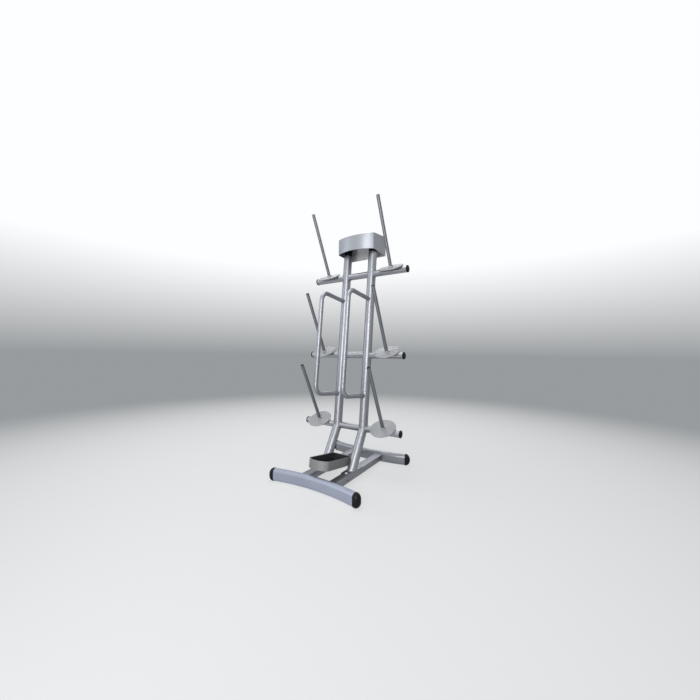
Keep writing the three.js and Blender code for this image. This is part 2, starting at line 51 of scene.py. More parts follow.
MM = 0.001
QUARTER = math.pi / 2
UP = Vector((0, 0, 1))
SAME_POINT = 1e-6

# The fitting gap between pieces that rest against or in each other, and the steps of a rounded edge.
GAP = 0.3
EDGE_STEPS = 4

# The cosine of half the sharpest turn that a mitre follows in full.
SHARPEST = 0.3

# Edges sharper than this many degrees stay crisp; the second is for finely stepped bows.
CREASE = 34.0
BOW_CREASE = 40.0

# The colour mix node's inputs for the share and the two colours, and its colour output.
MIX_INPUTS = (0, 6, 7)
MIX_OUTPUT = 2

Colour = tuple[float, float, float]
Span = tuple[float, float]
Plan = list[tuple[float, float]]
Ring = list[Vector]
Height = Callable[[float, float], float] | float
Socket = bpy.types.NodeSocket


class Slot(Enum):
    """The record's material slots."""

    SILVER = "silver_coat"
    SEAT = "seat_coat"
    HEADER = "header_coat"
    TRAY = "tray_coat"
    PLASTIC = "black_plastic"
    RUBBER = "black_rubber"
    ZINC = "zinc_plate"


class Named(Enum):
    """A choice whose name also stands in the names of pieces."""

    @property
    def word(self) -> str:
        """The choice's name in lower case."""
        return self.name.lower()


class Side(Named):
    """The rack's two sides, as seen by a user who faces it."""

    LEFT = -1
    RIGHT = 1


class End(Named):
    """The rack's front and rear."""

    FRONT = -1
    REAR = 1


class Row(Named):
    """The three rows of plates, with how far their cross tubes lie up the mast from its kink."""

    LOWER = 0.0
    MIDDLE = 493.0
    TOP = 1067.0


# Finishes


@dataclass(frozen=True)
class Pattern:
    """A noise pattern: waves per metre, octaves of finer noise and the stretch along each axis."""

    waves: float
    octaves: float
    stretch: tuple[float, float, float] | None = None


class NodeBench:
    """A node tree that is laid out node by node."""

    def __init__(self, tree: bpy.types.NodeTree, output: str) -> None:
        """Clears the tree and gives it an output.

        Args:
            tree: the tree of a material or a world.
            output: the output node's type name.
        """
        self.tree = tree
        self.tree.nodes.clear()
        self.surface = self.node(output).inputs["Surface"]

    def node(self, kind: str, **settings: Any) -> bpy.types.Node:
        """Adds a node.

        Args:
            kind: the node's type name.
            settings: attributes of the node.

        Returns:
            The new node.
        """
        made = self.tree.nodes.new(kind)
        for key, value in settings.items():
            setattr(made, key, value)
        return made

    def link(self, start: Socket, end: Socket) -> None:
        """Joins an output to an input."""
        self.tree.links.new(start, end)

    def put(self, value: Socket | Colour | float, end: Socket) -> None:
        """Gives an input its value.

        Args:
            value: an output to link, or a colour or number to set on the input itself.
            end: the input.
        """
        if isinstance(value, Socket):
            self.link(value, end)
        else:
            end.default_value = (*value, 1) if isinstance(value, tuple) else value

    def spread(self, value: Socket, result: Span, span: Span = (0.3, 0.7), curve: str = "LINEAR") -> Socket:
        """Maps a span of a value to a range.

        Args:
            value: the value to read.
            result: what it becomes at the two ends of the span.
            span: the part of the value that is read.
            curve: how the result runs from one end to the other.

        Returns:
            The mapped value.
        """
        made = self.node("ShaderNodeMapRange", interpolation_type=curve)
        for socket, number in zip(("From Min", "From Max", "To Min", "To Max"), (*span, *result)):
            made.inputs[socket].default_value = number
        self.link(value, made.inputs["Value"])
        return made.outputs["Result"]

    def mix(
        self, share: Socket | float, first: Socket | Colour, second: Socket | Colour, way: str = "MIX"
    ) -> Socket:
        """Mixes two colours.

        Args:
            share: how much of the second colour shows.
            first: a colour or an output with one.
            second: a colour or an output with one.
            way: how they mix.

        Returns:
            The mixed colour.
        """
        made = self.node("ShaderNodeMix", data_type="RGBA", blend_type=way)
        for value, place in zip((share, first, second), MIX_INPUTS):
            self.put(value, made.inputs[place])
        return made.outputs[MIX_OUTPUT]

    def combined(self, operation: str, first: Socket, second: Socket) -> Socket:
        """Works out one number from two.

        Args:
            operation: what is done with them.
            first: the first number.
            second: the second number.

        Returns:
            The result.
        """
        made = self.node("ShaderNodeMath", operation=operation)
        self.link(first, made.inputs[0])
        self.link(second, made.inputs[1])
        return made.outputs[0]

    def plain(self, kind: str, colour: Socket | Colour) -> bpy.types.Node:
        """Adds a shader of one kind and colour.

        Args:
            kind: the shader's type name.
            colour: a colour or an output with one.

        Returns:
            The shader.
        """
        made = self.node(kind)
        self.put(colour, made.inputs["Color"])
        return made

    def show(self, share: Socket, first: bpy.types.Node, second: bpy.types.Node) -> None:
        """Sends a mix of two shaders to the output.

        Args:
            share: how much of the second shader shows.
            first: the first shader.
            second: the second shader.
        """
        mixed = self.node("ShaderNodeMixShader")
        for start, end in zip((share, first.outputs[0], second.outputs[0]), mixed.inputs):
            self.link(start, end)
        self.link(mixed.outputs[0], self.surface)


class CoatBench(NodeBench):
    """A material's tree, with patterns in the piece's own frame and one shader that they feed."""

    def __init__(self, material: bpy.types.Material) -> None:
        """Clears the material's tree and gives it its shader.

        Args:
            material: the material.
        """
        super().__init__(material.node_tree, "ShaderNodeOutputMaterial")
        self.shader = self.node("ShaderNodeBsdfPrincipled")
        self.link(self.shader.outputs["BSDF"], self.surface)
        self.place = self.node("ShaderNodeTexCoord").outputs["Object"]

    def noise(self, pattern: Pattern) -> Socket:
        """Adds a noise pattern.

        Args:
            pattern: its scale and detail.

        Returns:
            The pattern's value, about 0.5 on average.
        """
        made = self.node("ShaderNodeTexNoise")
        made.inputs["Scale"].default_value = pattern.waves
        made.inputs["Detail"].default_value = pattern.octaves
        place = self.place
        if pattern.stretch:
            mapping = self.node("ShaderNodeMapping")
            mapping.inputs["Scale"].default_value = pattern.stretch
            self.link(place, mapping.inputs["Vector"])
            place = mapping.outputs["Vector"]
        self.link(place, made.inputs["Vector"])
        return made.outputs["Fac"]

    def shades(self, pattern: Pattern, colour: Colour, shares: Span, span: Span = (0.3, 0.7)) -> Socket:
        """Gives a colour darker and lighter patches.

        Args:
            pattern: where they lie.
            colour: the colour.
            shares: what it is multiplied by in the darkest and the lightest patches.
            span: the part of the pattern over which one turns into the other.

        Returns:
            The shaded colour.
        """
        made = self.node("ShaderNodeValToRGB")
        for element, place, share in zip(made.color_ramp.elements, span, shares):
            element.position = place
            element.color = (*(part * share for part in colour), 1)
        self.link(self.noise(pattern), made.inputs["Fac"])
        return made.outputs["Color"]

    def feed(self, socket: str, value: Socket | Colour | float) -> None:
        """Links a pattern to the shader, or sets a constant on it."""
        self.put(value, self.shader.inputs[socket])

    def dull(self, pattern: Pattern, roughness: float, swing: Span) -> None:
        """Feeds a roughness that a pattern swings below and above its middle value."""
        result = (roughness - swing[0], roughness + swing[1])
        self.feed("Roughness", self.spread(self.noise(pattern), result))

    def roughen(self, pattern: Pattern, depth: float, strength: float) -> None:
        """Feeds a bump.

        Args:
            pattern: its height.
            depth: its full height in metres.
            strength: how strongly it shows.
        """
        made = self.node("ShaderNodeBump")
        made.inputs["Distance"].default_value = depth
        made.inputs["Strength"].default_value = strength
        self.link(self.noise(pattern), made.inputs["Height"])
        self.feed("Normal", made.outputs["Normal"])


@dataclass(frozen=True)
class Finish:
    """What all finishes share: a name, a slot and a material that is made once."""

    name: str
    slot: Slot

    def material(self) -> bpy.types.Material:
        """Gives the finish's material, made on first use.

        Returns:
            The material.
        """
        found = bpy.data.materials.get(self.name)
        if found is None:
            found = bpy.data.materials.new(self.name)
            found.use_nodes = True
            self.lay(CoatBench(found))
        return found

    def lay(self, bench: CoatBench) -> None:
        """Lays the finish out on a bench."""
        raise NotImplementedError


@dataclass(frozen=True)
class PowderCoat(Finish):
    """Sprayed and baked coat with metal flake, orange peel, faint blotches and handling scuffs."""

    colour: Colour
    metallic: float
    roughness: float
    scuffs: Pattern = Pattern(1.0, 4, (60.0, 60.0, 4.0))
    scuff_span: Span = (0.6, 0.72)
    scuff_share: float = 0.1
    scuff_colour: Colour = (0.30, 0.31, 0.33)
    blotches: Pattern = Pattern(7.0, 3)
    blotch: float = 0.04
    flecks: Pattern = Pattern(1400.0, 1)
    fleck_span: Span = (0.35, 0.65)
    fleck: float = 0.05
    dulling: Pattern = Pattern(21.0, 2)
    swing: float = 0.02
    peel: Pattern = Pattern(500.0, 2)
    peel_depth: float = 0.00005
    peel_strength: float = 0.12
    specular: float = 0.5
    edge_tint: Colour = (0.6, 0.6, 0.62)

    def lay(self, bench: CoatBench) -> None:
        """Lays the finish out on a bench.

        Args:
            bench: the material's bench.
        """
        blotched = bench.shades(self.blotches, self.colour, (1 - self.blotch, 1 + self.blotch))
        flake = bench.shades(self.flecks, (1.0, 1.0, 1.0), (1 - self.fleck, 1 + self.fleck), self.fleck_span)
        coat = bench.mix(1.0, blotched, flake, "MULTIPLY")
        scuffed = bench.spread(bench.noise(self.scuffs), (0.0, self.scuff_share), self.scuff_span)
        bench.feed("Base Color", bench.mix(scuffed, coat, self.scuff_colour))
        bench.dull(self.dulling, self.roughness, (self.swing, self.swing))
        bench.roughen(self.peel, self.peel_depth, self.peel_strength)
        bench.feed("Metallic", self.metallic)
        bench.feed("Specular IOR Level", self.specular)
        bench.feed("Specular Tint", self.edge_tint)


@dataclass(frozen=True)
class Moulding(Finish):
    """Moulded plastic or rubber with a fine spark-eroded grain and patches of dust."""

    colour: Colour
    roughness: float
    grain: Pattern
    grain_depth: float
    grain_strength: float
    dust_colour: Colour
    dust_share: float
    specular: float
    dust: Pattern = Pattern(55.0, 5)
    dust_span: Span = (0.5, 0.75)
    patches: Pattern = Pattern(30.0, 4)
    shares: Span = (0.75, 1.3)
    dulling: Pattern = Pattern(45.0, 3)
    swing: Span = (0.06, 0.08)

    def lay(self, bench: CoatBench) -> None:
        """Lays the finish out on a bench.

        Args:
            bench: the material's bench.
        """
        tone = bench.shades(self.patches, self.colour, self.shares)
        dusty = bench.spread(bench.noise(self.dust), (0.0, self.dust_share), self.dust_span)
        bench.feed("Base Color", bench.mix(dusty, tone, self.dust_colour))
        bench.dull(self.dulling, self.roughness, self.swing)
        bench.roughen(self.grain, self.grain_depth, self.grain_strength)
        bench.feed("Specular IOR Level", self.specular)


@dataclass(frozen=True)
class Plating(Finish):
    """Zinc plate with fine turning marks and dull patches."""

    colour: Colour
    roughness: float
    patches: Pattern = Pattern(160.0, 4)
    shares: Span = (0.8, 1.0)
    dulling: Pattern = Pattern(240.0, 3)
    swing: Span = (0.08, 0.1)
    marks: Pattern = Pattern(900.0, 2, (1.0, 1.0, 0.1))
    mark_depth: float = 0.00005
    mark_strength: float = 0.3
    metallic: float = 1.0

    def lay(self, bench: CoatBench) -> None:
        """Lays the finish out on a bench.

        Args:
            bench: the material's bench.
        """
        bench.feed("Base Color", bench.shades(self.patches, self.colour, self.shares))
        bench.dull(self.dulling, self.roughness, self.swing)
        bench.roughen(self.marks, self.mark_depth, self.mark_strength)
        bench.feed("Metallic", self.metallic)


SILVER = PowderCoat("silver_powder_coat", Slot.SILVER, (0.29, 0.30, 0.325), 0.8, 0.41)
# A lighter copy of the silver coat for the cross tubes: painted light, standing in for the light on their
# tops.
BAR_SILVER_PAINTED_LIGHT = PowderCoat("bar_silver_coat", Slot.SILVER, (0.35, 0.36, 0.385), 0.8, 0.35)
# A darker copy of the silver coat for the rails, their welds, the leg plates and the rear foot: painted
# shade, as they get less light.
BASE_SILVER_PAINTED_SHADE = PowderCoat("base_silver_coat", Slot.SILVER, (0.24, 0.25, 0.27), 0.8, 0.37)
PIN_SILVER = PowderCoat("pin_silver_coat", Slot.SILVER, (0.19, 0.20, 0.22), 0.8, 0.4)
# A lighter, bluer copy of the silver coat for the front foot: painted light from the lamps in front.
FOOT_SILVER_PAINTED_LIGHT = PowderCoat("foot_silver_coat", Slot.SILVER, (0.34, 0.37, 0.455), 0.4, 0.4)
SEAT_GREY = PowderCoat(
    "seat_grey_coat", Slot.SEAT, (0.36, 0.37, 0.385), 0.3, 0.5, Pattern(1.0, 4, (9.0, 90.0, 9.0))
)
HEADER_SILVER = PowderCoat(
    "header_silver_coat", Slot.HEADER, (0.32, 0.335, 0.365), 0.55, 0.38, Pattern(1.0, 4, (90.0, 90.0, 6.0))
)
# A light grey for the header's back panel, lighter than the header's coat: painted light inside the header,
# where little lamp light reaches.
BACK_GREY_PAINTED_LIGHT = PowderCoat("back_grey_coat", Slot.HEADER, (0.8, 0.8, 0.805), 0.05, 0.5)
TRAY_SILVER = PowderCoat(
    "tray_silver_coat", Slot.TRAY, (0.24, 0.24, 0.24), 0.25, 0.5, Pattern(1.0, 4, (9.0, 9.0, 90.0))
)
PLASTIC = Moulding(
    "black_cap_plastic", Slot.PLASTIC, (0.005, 0.006, 0.008), 0.42, Pattern(1500.0, 2), grain_depth=0.0001,
    grain_strength=0.3, dust_colour=(0.03, 0.034, 0.038), dust_share=0.16, specular=0.16,
)
RUBBER = Moulding(
    "black_liner_rubber", Slot.RUBBER, (0.017, 0.019, 0.021), 0.72, Pattern(700.0, 2), grain_depth=0.0003,
    grain_strength=0.5, dust_colour=(0.05, 0.053, 0.056), dust_share=0.3, specular=0.25,
)
ZINC = Plating("bright_zinc_plate", Slot.ZINC, (0.62, 0.64, 0.67), 0.3)
DULL_ZINC = Plating("dull_zinc_plate", Slot.ZINC, (0.13, 0.135, 0.14), 0.5)


# Forms


def in_scene(name: str, data: bpy.types.ID) -> bpy.types.Object:
    """Makes an object and puts it in the scene.

    Args:
        name: the object's name.
        data: its mesh, lamp or camera.

    Returns:
        The object.
    """
    thing = bpy.data.objects.new(name, data)
    bpy.context.scene.collection.objects.link(thing)
    return thing


@dataclass
class Form:
    """A mesh in the making: points in millimetres and the faces that join them."""

    points: list[Vector] = field(default_factory=list)
    faces: list[tuple[int, ...]] = field(default_factory=list)

    def moved(self, matrix: Matrix) -> "Form":
        """Gives the form in another place."""
        return Form([matrix @ p for p in self.points], list(self.faces))

    def mesh(self, name: str, scale: float = 1.0) -> bpy.types.Mesh:
        """Makes a mesh of the form, its faces turned outwards.

        Args:
            name: the mesh's name.
            scale: what its points are multiplied by.

        Returns:
            The mesh.
        """
        made = bpy.data.meshes.new(name)
        made.from_pydata([p * scale for p in self.points], [], self.faces)
        shape = bmesh.new()
        shape.from_mesh(made)
        bmesh.ops.remove_doubles(shape, verts=shape.verts, dist=SAME_POINT)
        bmesh.ops.recalc_face_normals(shape, faces=shape.faces)
        shape.to_mesh(made)
        shape.free()
        return made

    def less(self, other: "Form") -> "Form":
        """Gives what is left of the form when another is cut out of it.

        Args:
            other: the form to take away.

        Returns:
            The cut form.
        """
        body = in_scene("body", self.mesh("body"))
        tool = in_scene("tool", other.mesh("tool"))
        cut = body.modifiers.new("cut", "BOOLEAN")
        cut.operation = "DIFFERENCE"
        cut.solver = "EXACT"
        cut.object = tool
        seen = body.evaluated_get(bpy.context.evaluated_depsgraph_get())
        mesh = seen.to_mesh()
        left = Form([v.co.copy() for v in mesh.vertices], [tuple(f.vertices) for f in mesh.polygons])
        seen.to_mesh_clear()
        for thing in (body, tool):
            shape = thing.data
            bpy.data.objects.remove(thing)
            bpy.data.meshes.remove(shape)
        return left


def ringed(rings: Sequence[Ring], looped: bool = False) -> Form:
    """Joins rings of equally many points with quads.

    Args:
        rings: the rings in order; a ring of one point is a pole.
        looped: whether the last ring joins the first; if not, the end rings are closed.

    Returns:
        The joined form.
    """
    form = Form()
    starts = []
    for ring in rings:
        starts.append(len(form.points))
        form.points += [p.copy() for p in ring]
    last = len(rings) - 1
    pairs = [(k, k + 1) for k in range(last)]
    if looped:
        pairs.append((last, 0))
    for a, b in pairs:
        near, far = len(rings[a]), len(rings[b])
        count = max(near, far)
        for i in range(count):
            j = (i + 1) % count
            corners = (starts[a] + i % near, starts[a] + j % near, starts[b] + j % far, starts[b] + i % far)
            form.faces.append(tuple(dict.fromkeys(corners)))
    for k in () if looped else (0, last):
        if len(rings[k]) > 2:
            form.faces.append(tuple(range(starts[k], starts[k] + len(rings[k]))))
    return form


def together(forms: Iterable[Form]) -> Form:
    """Puts several forms together as one.

    Args:
        forms: the forms.

    Returns:
        The whole.
    """
    whole = Form()
    for form in forms:
        start = len(whole.points)
        whole.points += form.points
        whole.faces += [tuple(i + start for i in face) for face in form.faces]
    return whole


def turns(count: int) -> list[float]:
    """Evenly spaced directions all round."""
    return [2 * math.pi * i / count for i in range(count)]


def polar(radius: float, turn: float, z: float = 0.0) -> Vector:
    """The point at a distance from the Z axis, in a direction and at a height."""
    return Vector((radius * math.cos(turn), radius * math.sin(turn), z))


def circle(radius: float, z: float, sides: int) -> Ring:
    """A level ring round the Z axis, or its middle point where the radius is zero."""
    return [polar(radius, t, z) for t in turns(sides if radius else 1)]


def turned(profile: Plan, sides: int) -> Form:
    """Turns a profile of radii and heights round Z; one that starts and ends off the axis is looped."""
    looped = profile[0][0] > 0 and profile[-1][0] > 0
    return ringed([circle(r, z, sides) for r, z in profile], looped)


def quarter_round(across: float, along: float, width: float, rise: float, steps: int) -> Plan:
    """Rounds an edge with a quarter ellipse that starts straight up and ends level.

    Args:
        across: where it starts, on the first axis.
        along: where it starts, on the second axis.
        width: how far it goes in.
        rise: how far it goes up.
        steps: along the curve.

    Returns:
        The curve's points.
    """
    angles = [QUARTER * i / steps for i in range(steps + 1)]
    return [(across - width * (1 - math.cos(t)), along + rise * math.sin(t)) for t in angles]


def rounded_box(width: float, height: float, radius: float, steps: int) -> Plan:
    """The outline of a rectangle with round corners, round its middle.

    Args:
        width: size along the first axis.
        height: size along the second axis.
        radius: of the corners.
        steps: in each corner.

    Returns:
        The outline, anticlockwise.
    """
    outline = []
    for corner, (sx, sy) in enumerate(((1, 1), (-1, 1), (-1, -1), (1, -1))):
        for i in range(steps + 1):
            turn = QUARTER * (corner + i / steps)
            x = sx * (width / 2 - radius) + radius * math.cos(turn)
            y = sy * (height / 2 - radius) + radius * math.sin(turn)
            outline.append((x, y))
    return outline


def inset(path: Plan, distance: float, closed: bool = True) -> Plan:
    """Moves a plan path to its left by a distance, mitred at its corners.

    Args:
        path: the plan path.
        distance: how far it moves.
        closed: whether its ends meet.

    Returns:
        The moved path.
    """
    count = len(path)
    moved = []
    for i, (x, y) in enumerate(path):
        normals = []
        for a, b in ((i - 1, i), (i, i + 1)):
            if closed or (a >= 0 and b < count):
                way = (Vector(path[b % count]) - Vector(path[a % count])).normalized()
                normals.append(Vector((-way.y, way.x)))
        middle = sum(normals, Vector((0, 0))).normalized()
        reach = distance / max(SHARPEST, middle.dot(normals[0]))
        moved.append((x + middle.x * reach, y + middle.y * reach))
    return moved


def softened(path: Plan, corners: Sequence[int], reach: float, steps: int) -> Plan:
    """Rounds some corners of a plan path.

    Args:
        path: the plan path.
        corners: which of its points are rounded.
        reach: how far from the corner the rounding starts.
        steps: steps in each rounding.

    Returns:
        The path with its corners rounded.
    """
    made = []
    for i, point in enumerate(path):
        if i not in corners:
            made.append(point)
            continue
        here = Vector(point)
        before = here + (Vector(path[i - 1]) - here).normalized() * reach
        after = here + (Vector(path[(i + 1) % len(path)]) - here).normalized() * reach
        for k in range(steps + 1):
            t = k / steps
            p = before * (1 - t) ** 2 + here * 2 * t * (1 - t) + after * t ** 2
            made.append((p.x, p.y))
    return made


def bowed_path(width: float, rear: float, corner: float, bow: float, steps: int) -> Plan:
    """A plan path from the left rear round a front bowed towards -Y to the right rear.

    Args:
        width: between the sides.
        rear: where the sides end.
        corner: where the sides meet the bow.
        bow: how far the front stands ahead of its corners.
        steps: along the bow.

    Returns:
        The path, anticlockwise seen from above.
    """
    half = width / 2
    radius = (half ** 2 + bow ** 2) / (2 * bow)
    centre = corner - bow + radius
    widest = math.asin(half / radius)
    angles = [widest * (2 * i / steps - 1) for i in range(steps + 1)]
    front = [(radius * math.sin(t), centre - radius * math.cos(t)) for t in angles]
    return [(-half, rear), *front, (half, rear)]


def reach_to(place: Matrix, point: Vector, normal: Vector) -> Height:
    """Measures up a frame's Z axis to the plane that has a point and a normal in the rack's frame."""
    rise = place.to_3x3() @ UP
    return lambda x, y: normal.dot(point - place @ Vector((x, y, 0))) / normal.dot(rise)


def raised(path: Plan, height: Height, lift: float = 0.0) -> Ring:
    """Lifts a plan path to a height, which may change from place to place, and a little more."""
    return [Vector((x, y, (height(x, y) if callable(height) else height) + lift)) for x, y in path]


def wall(path: Plan, closed: bool, thickness: float, low: Height, high: Height, edge: float) -> Form:
    """Stands a wall on a plan path, with its edges broken.

    Args:
        path: the wall's outer face in plan, anticlockwise.
        closed: whether it goes all round.
        thickness: of the wall, inwards.
        low: height of its lower edge at a place in plan.
        high: height of its upper edge at a place in plan.
        edge: size of the broken edges.

    Returns:
        The wall.
    """
    lanes = (
        (0.0, low, edge), (0.0, high, -edge), (edge, high, 0.0), (thickness - edge, high, 0.0),
        (thickness, high, -edge), (thickness, low, edge), (thickness - edge, low, 0.0), (edge, low, 0.0),
    )
    lines = [raised(inset(path, depth, closed), end, lift) for depth, end, lift in lanes]
    return ringed([list(ring) for ring in zip(*lines)], looped=closed)


def slab(outline: Plan, low: Height, high: Height, edge: float) -> Form:
    """A plate of one anticlockwise outline between two heights, with its edges broken."""
    lanes = ((edge, low, 0.0), (0.0, low, edge), (0.0, high, -edge), (edge, high, 0.0))
    return ringed([raised(inset(outline, depth), end, lift) for depth, end, lift in lanes])


def plan_circle(diameter: float, sides: int) -> Plan:
    """A circle round the Z axis, in plan."""
    return [(p.x, p.y) for p in circle(diameter / 2, 0, sides)]


def pipe(
    diameter: float, thickness: float, low: Height, high: Height, sides: int, edge: float = 0.4
) -> Form:
    """A round tube along Z whose ends may be cut to any plane.

    Args:
        diameter: outside.
        thickness: of its wall.
        low: height of its lower end at a place in plan.
        high: height of its upper end at a place in plan.
        sides: facets round it.
        edge: size of its broken edges.

    Returns:
        The tube.
    """
    inner, broken = diameter - 2 * thickness, diameter - 2 * edge
    lanes = (
        (diameter, low, edge), (diameter, high, -edge), (broken, high, 0.0),
        (inner, high, 0.0), (inner, low, 0.0), (broken, low, 0.0),
    )
    return ringed([raised(plan_circle(size, sides), end, lift) for size, end, lift in lanes], looped=True)


def saddle(bar_diameter: float, post_diameter: float, count: int) -> Ring:
    """The seam of a bar along Z that meets a round post along X, on the post's +Z side."""
    rim = plan_circle(bar_diameter, count)
    return raised(rim, lambda x, y: math.sqrt((post_diameter / 2) ** 2 - y ** 2))


@dataclass(frozen=True)
class Bead:
    """A weld bead with the even ripples of its runs."""

    radius: float
    pitch: float = 3.4
    swell: float = 0.16
    end_share: float = 0.4
    ripple_steps: int = 3
    sides: int = 8

    def stations(self, path: Ring, closed: bool) -> Ring:
        """Spaces the bead's sections evenly along a seam.

        Args:
            path: the seam.
            closed: whether its ends meet.

        Returns:
            The sections' middles.
        """
        points = [*path, path[0]] if closed else path
        reaches = [0.0]
        for a, b in zip(points, points[1:]):
            reaches.append(reaches[-1] + (b - a).length)
        count = self.ripple_steps * max(2, round(reaches[-1] / self.pitch))
        made = []
        place = 0
        for i in range(count if closed else count + 1):
            along = reaches[-1] * i / count
            while place < len(reaches) - 2 and reaches[place + 1] < along:
                place += 1
            share = (along - reaches[place]) / (reaches[place + 1] - reaches[place])
            made.append(points[place].lerp(points[place + 1], share))
        return made

    def form(self, path: Ring, closed: bool = True) -> Form:
        """Lays the bead along a seam.

        Args:
            path: the seam.
            closed: whether its ends meet.

        Returns:
            The bead.
        """
        middle = sum(path, Vector((0, 0, 0))) / len(path)
        stations = self.stations(path, closed)
        last = len(stations) - 1
        rings = []
        for i, here in enumerate(stations):
            before = stations[i - 1] if closed or i > 0 else here
            after = stations[(i + 1) % len(stations)] if closed or i < last else here
            way = (after - before).normalized()
            out = here - middle if closed else UP
            out = (out - way * out.dot(way)).normalized()
            side = way.cross(out)
            size = self.radius * (1 + self.swell * math.cos(2 * math.pi * i / self.ripple_steps))
            if not closed and i in (0, last):
                size *= self.end_share
            rings.append([here + (out * math.cos(t) + side * math.sin(t)) * size for t in turns(self.sides)])
        return ringed(rings, looped=closed)


@dataclass(frozen=True)
class Cap:
    """A push-in tube cap with a rolled rim, a domed face and a shallow gate mark in its middle."""

    proud: float
    rim: float
    dome: float
    sides: int
    spigot: float = 14.0
    play: float = 0.6
    lead: float = 1.0
    rim_round: float = 1.2
    dome_steps: int = 8
    gate_share: float = 0.34
    gate_edge: float = 0.6
    gate_depth: float = 0.5
    stub_rise: float = 0.4
    stub_shares: Span = (0.5, 0.4)

    def form(self, diameter: float, thickness: float) -> Form:
        """Fits the cap to a tube.

        Args:
            diameter: of the tube.
            thickness: of the tube's wall.

        Returns:
            The cap, with the tube's end at z = 0.
        """
        plug = (diameter - 2 * thickness - self.play) / 2
        flange = diameter / 2 + self.proud
        profile = [
            (0.0, -self.spigot), (plug - self.lead, -self.spigot), (plug, self.lead - self.spigot),
            (plug, GAP), (flange - GAP, GAP), (flange, 2 * GAP),
        ]
        soft = self.rim_round
        profile += quarter_round(flange, self.rim - soft, soft, soft, EDGE_STEPS)
        base = profile[-1][0]
        for i in range(1, self.dome_steps + 1):
            share = 1 - (1 - self.gate_share) * i / self.dome_steps
            profile.append((base * share, self.rim + self.dome * (1 - share ** 2)))
        gate, crown = profile[-1]
        pit = crown - self.gate_depth
        stub = pit + self.stub_rise
        foot, head = (gate * share for share in self.stub_shares)
        profile += [(gate - self.gate_edge, pit), (foot, pit), (head, stub), (0.0, stub)]
        return turned(profile, self.sides)


@dataclass(frozen=True)
class Screw:
    """A domed screw with a hexagon socket; the shares are of its head's height or radius."""

    shank: float
    head: float
    head_height: float
    key: float
    lead: float = 0.8
    rim_share: float = 0.3
    crown_share: float = 0.45
    socket_share: float = 0.35
    drilled_share: float = 0.25
    round_steps: int = 6
    sides: int = 48

    def form(self, length: float) -> Form:
        """Makes the screw, its head on z = 0 and its shank down -Z.

        Args:
            length: of its shank.

        Returns:
            The screw.
        """
        shank, head = self.shank / 2, self.head / 2
        rim = self.head_height * self.rim_share
        profile = [
            (0.0, -length), (shank - self.lead, -length), (shank, self.lead - length),
            (shank, GAP), (head, GAP),
        ]
        rise = self.head_height - rim
        profile += quarter_round(head, rim, head * self.crown_share, rise, self.round_steps)
        rings = [circle(r, z, self.sides) for r, z in profile]
        sixth = math.pi / 3
        hexagon = [(self.key / 2 / math.cos(t % sixth - sixth / 2), t) for t in turns(self.sides)]
        for z in (self.head_height, self.head_height * self.socket_share):
            rings.append([polar(r, t, z) for r, t in hexagon])
        rings.append([Vector((0, 0, self.head_height * self.drilled_share))])
        return ringed(rings)


# Pieces


def shift(x: float = 0.0, y: float = 0.0, z: float = 0.0) -> Matrix:
    """A move."""
    return Matrix.Translation((x, y, z))


def tip(angle: float, axis: str = "X") -> Matrix:
    """A turn about an axis."""
    return Matrix.Rotation(angle, 4, axis)


def facing(x: Vector, y: Vector, z: Vector) -> Matrix:
    """A turn that brings the three axes into the given directions."""
    return Matrix((x, y, z)).transposed().to_4x4()


def make_piece(
    stem: str,
    form: Form,
    place: Matrix,
    finish: Finish,
    node: str | None,
    *parts: Named,
    crease: float = CREASE,
) -> None:
    """Makes one visible piece from a form and ties it to the frame.

    Args:
        stem: the piece's name without its ending.
        form: its mesh, in its own frame.
        place: its own frame in the rack's.
        finish: what it is coated with.
        node: the name, without its ending, of the frame's node that it stands for, if any.
        parts: what the ending of both names is made of.
        crease: edges sharper than this angle, in degrees, stay crisp.
    """
    ending = "".join(f"_{part.word}" for part in parts)
    name = stem + ending
    nodes = [node + ending] if node else []
    mesh = form.mesh(name, MM)
    mesh.shade_smooth()
    mesh.set_sharp_from_angle(angle=math.radians(crease))
    mesh.materials.append(finish.material())
    piece = in_scene(name, mesh)
    location, rotation, _ = place.decompose()
    piece.matrix_world = Matrix.LocRotScale(location * MM, rotation, None)
    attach(piece, "root")
    if nodes:
        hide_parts(*nodes)
    log.info("made %s in %s for %s", name, finish.name, ", ".join(nodes) or "no node of its own")


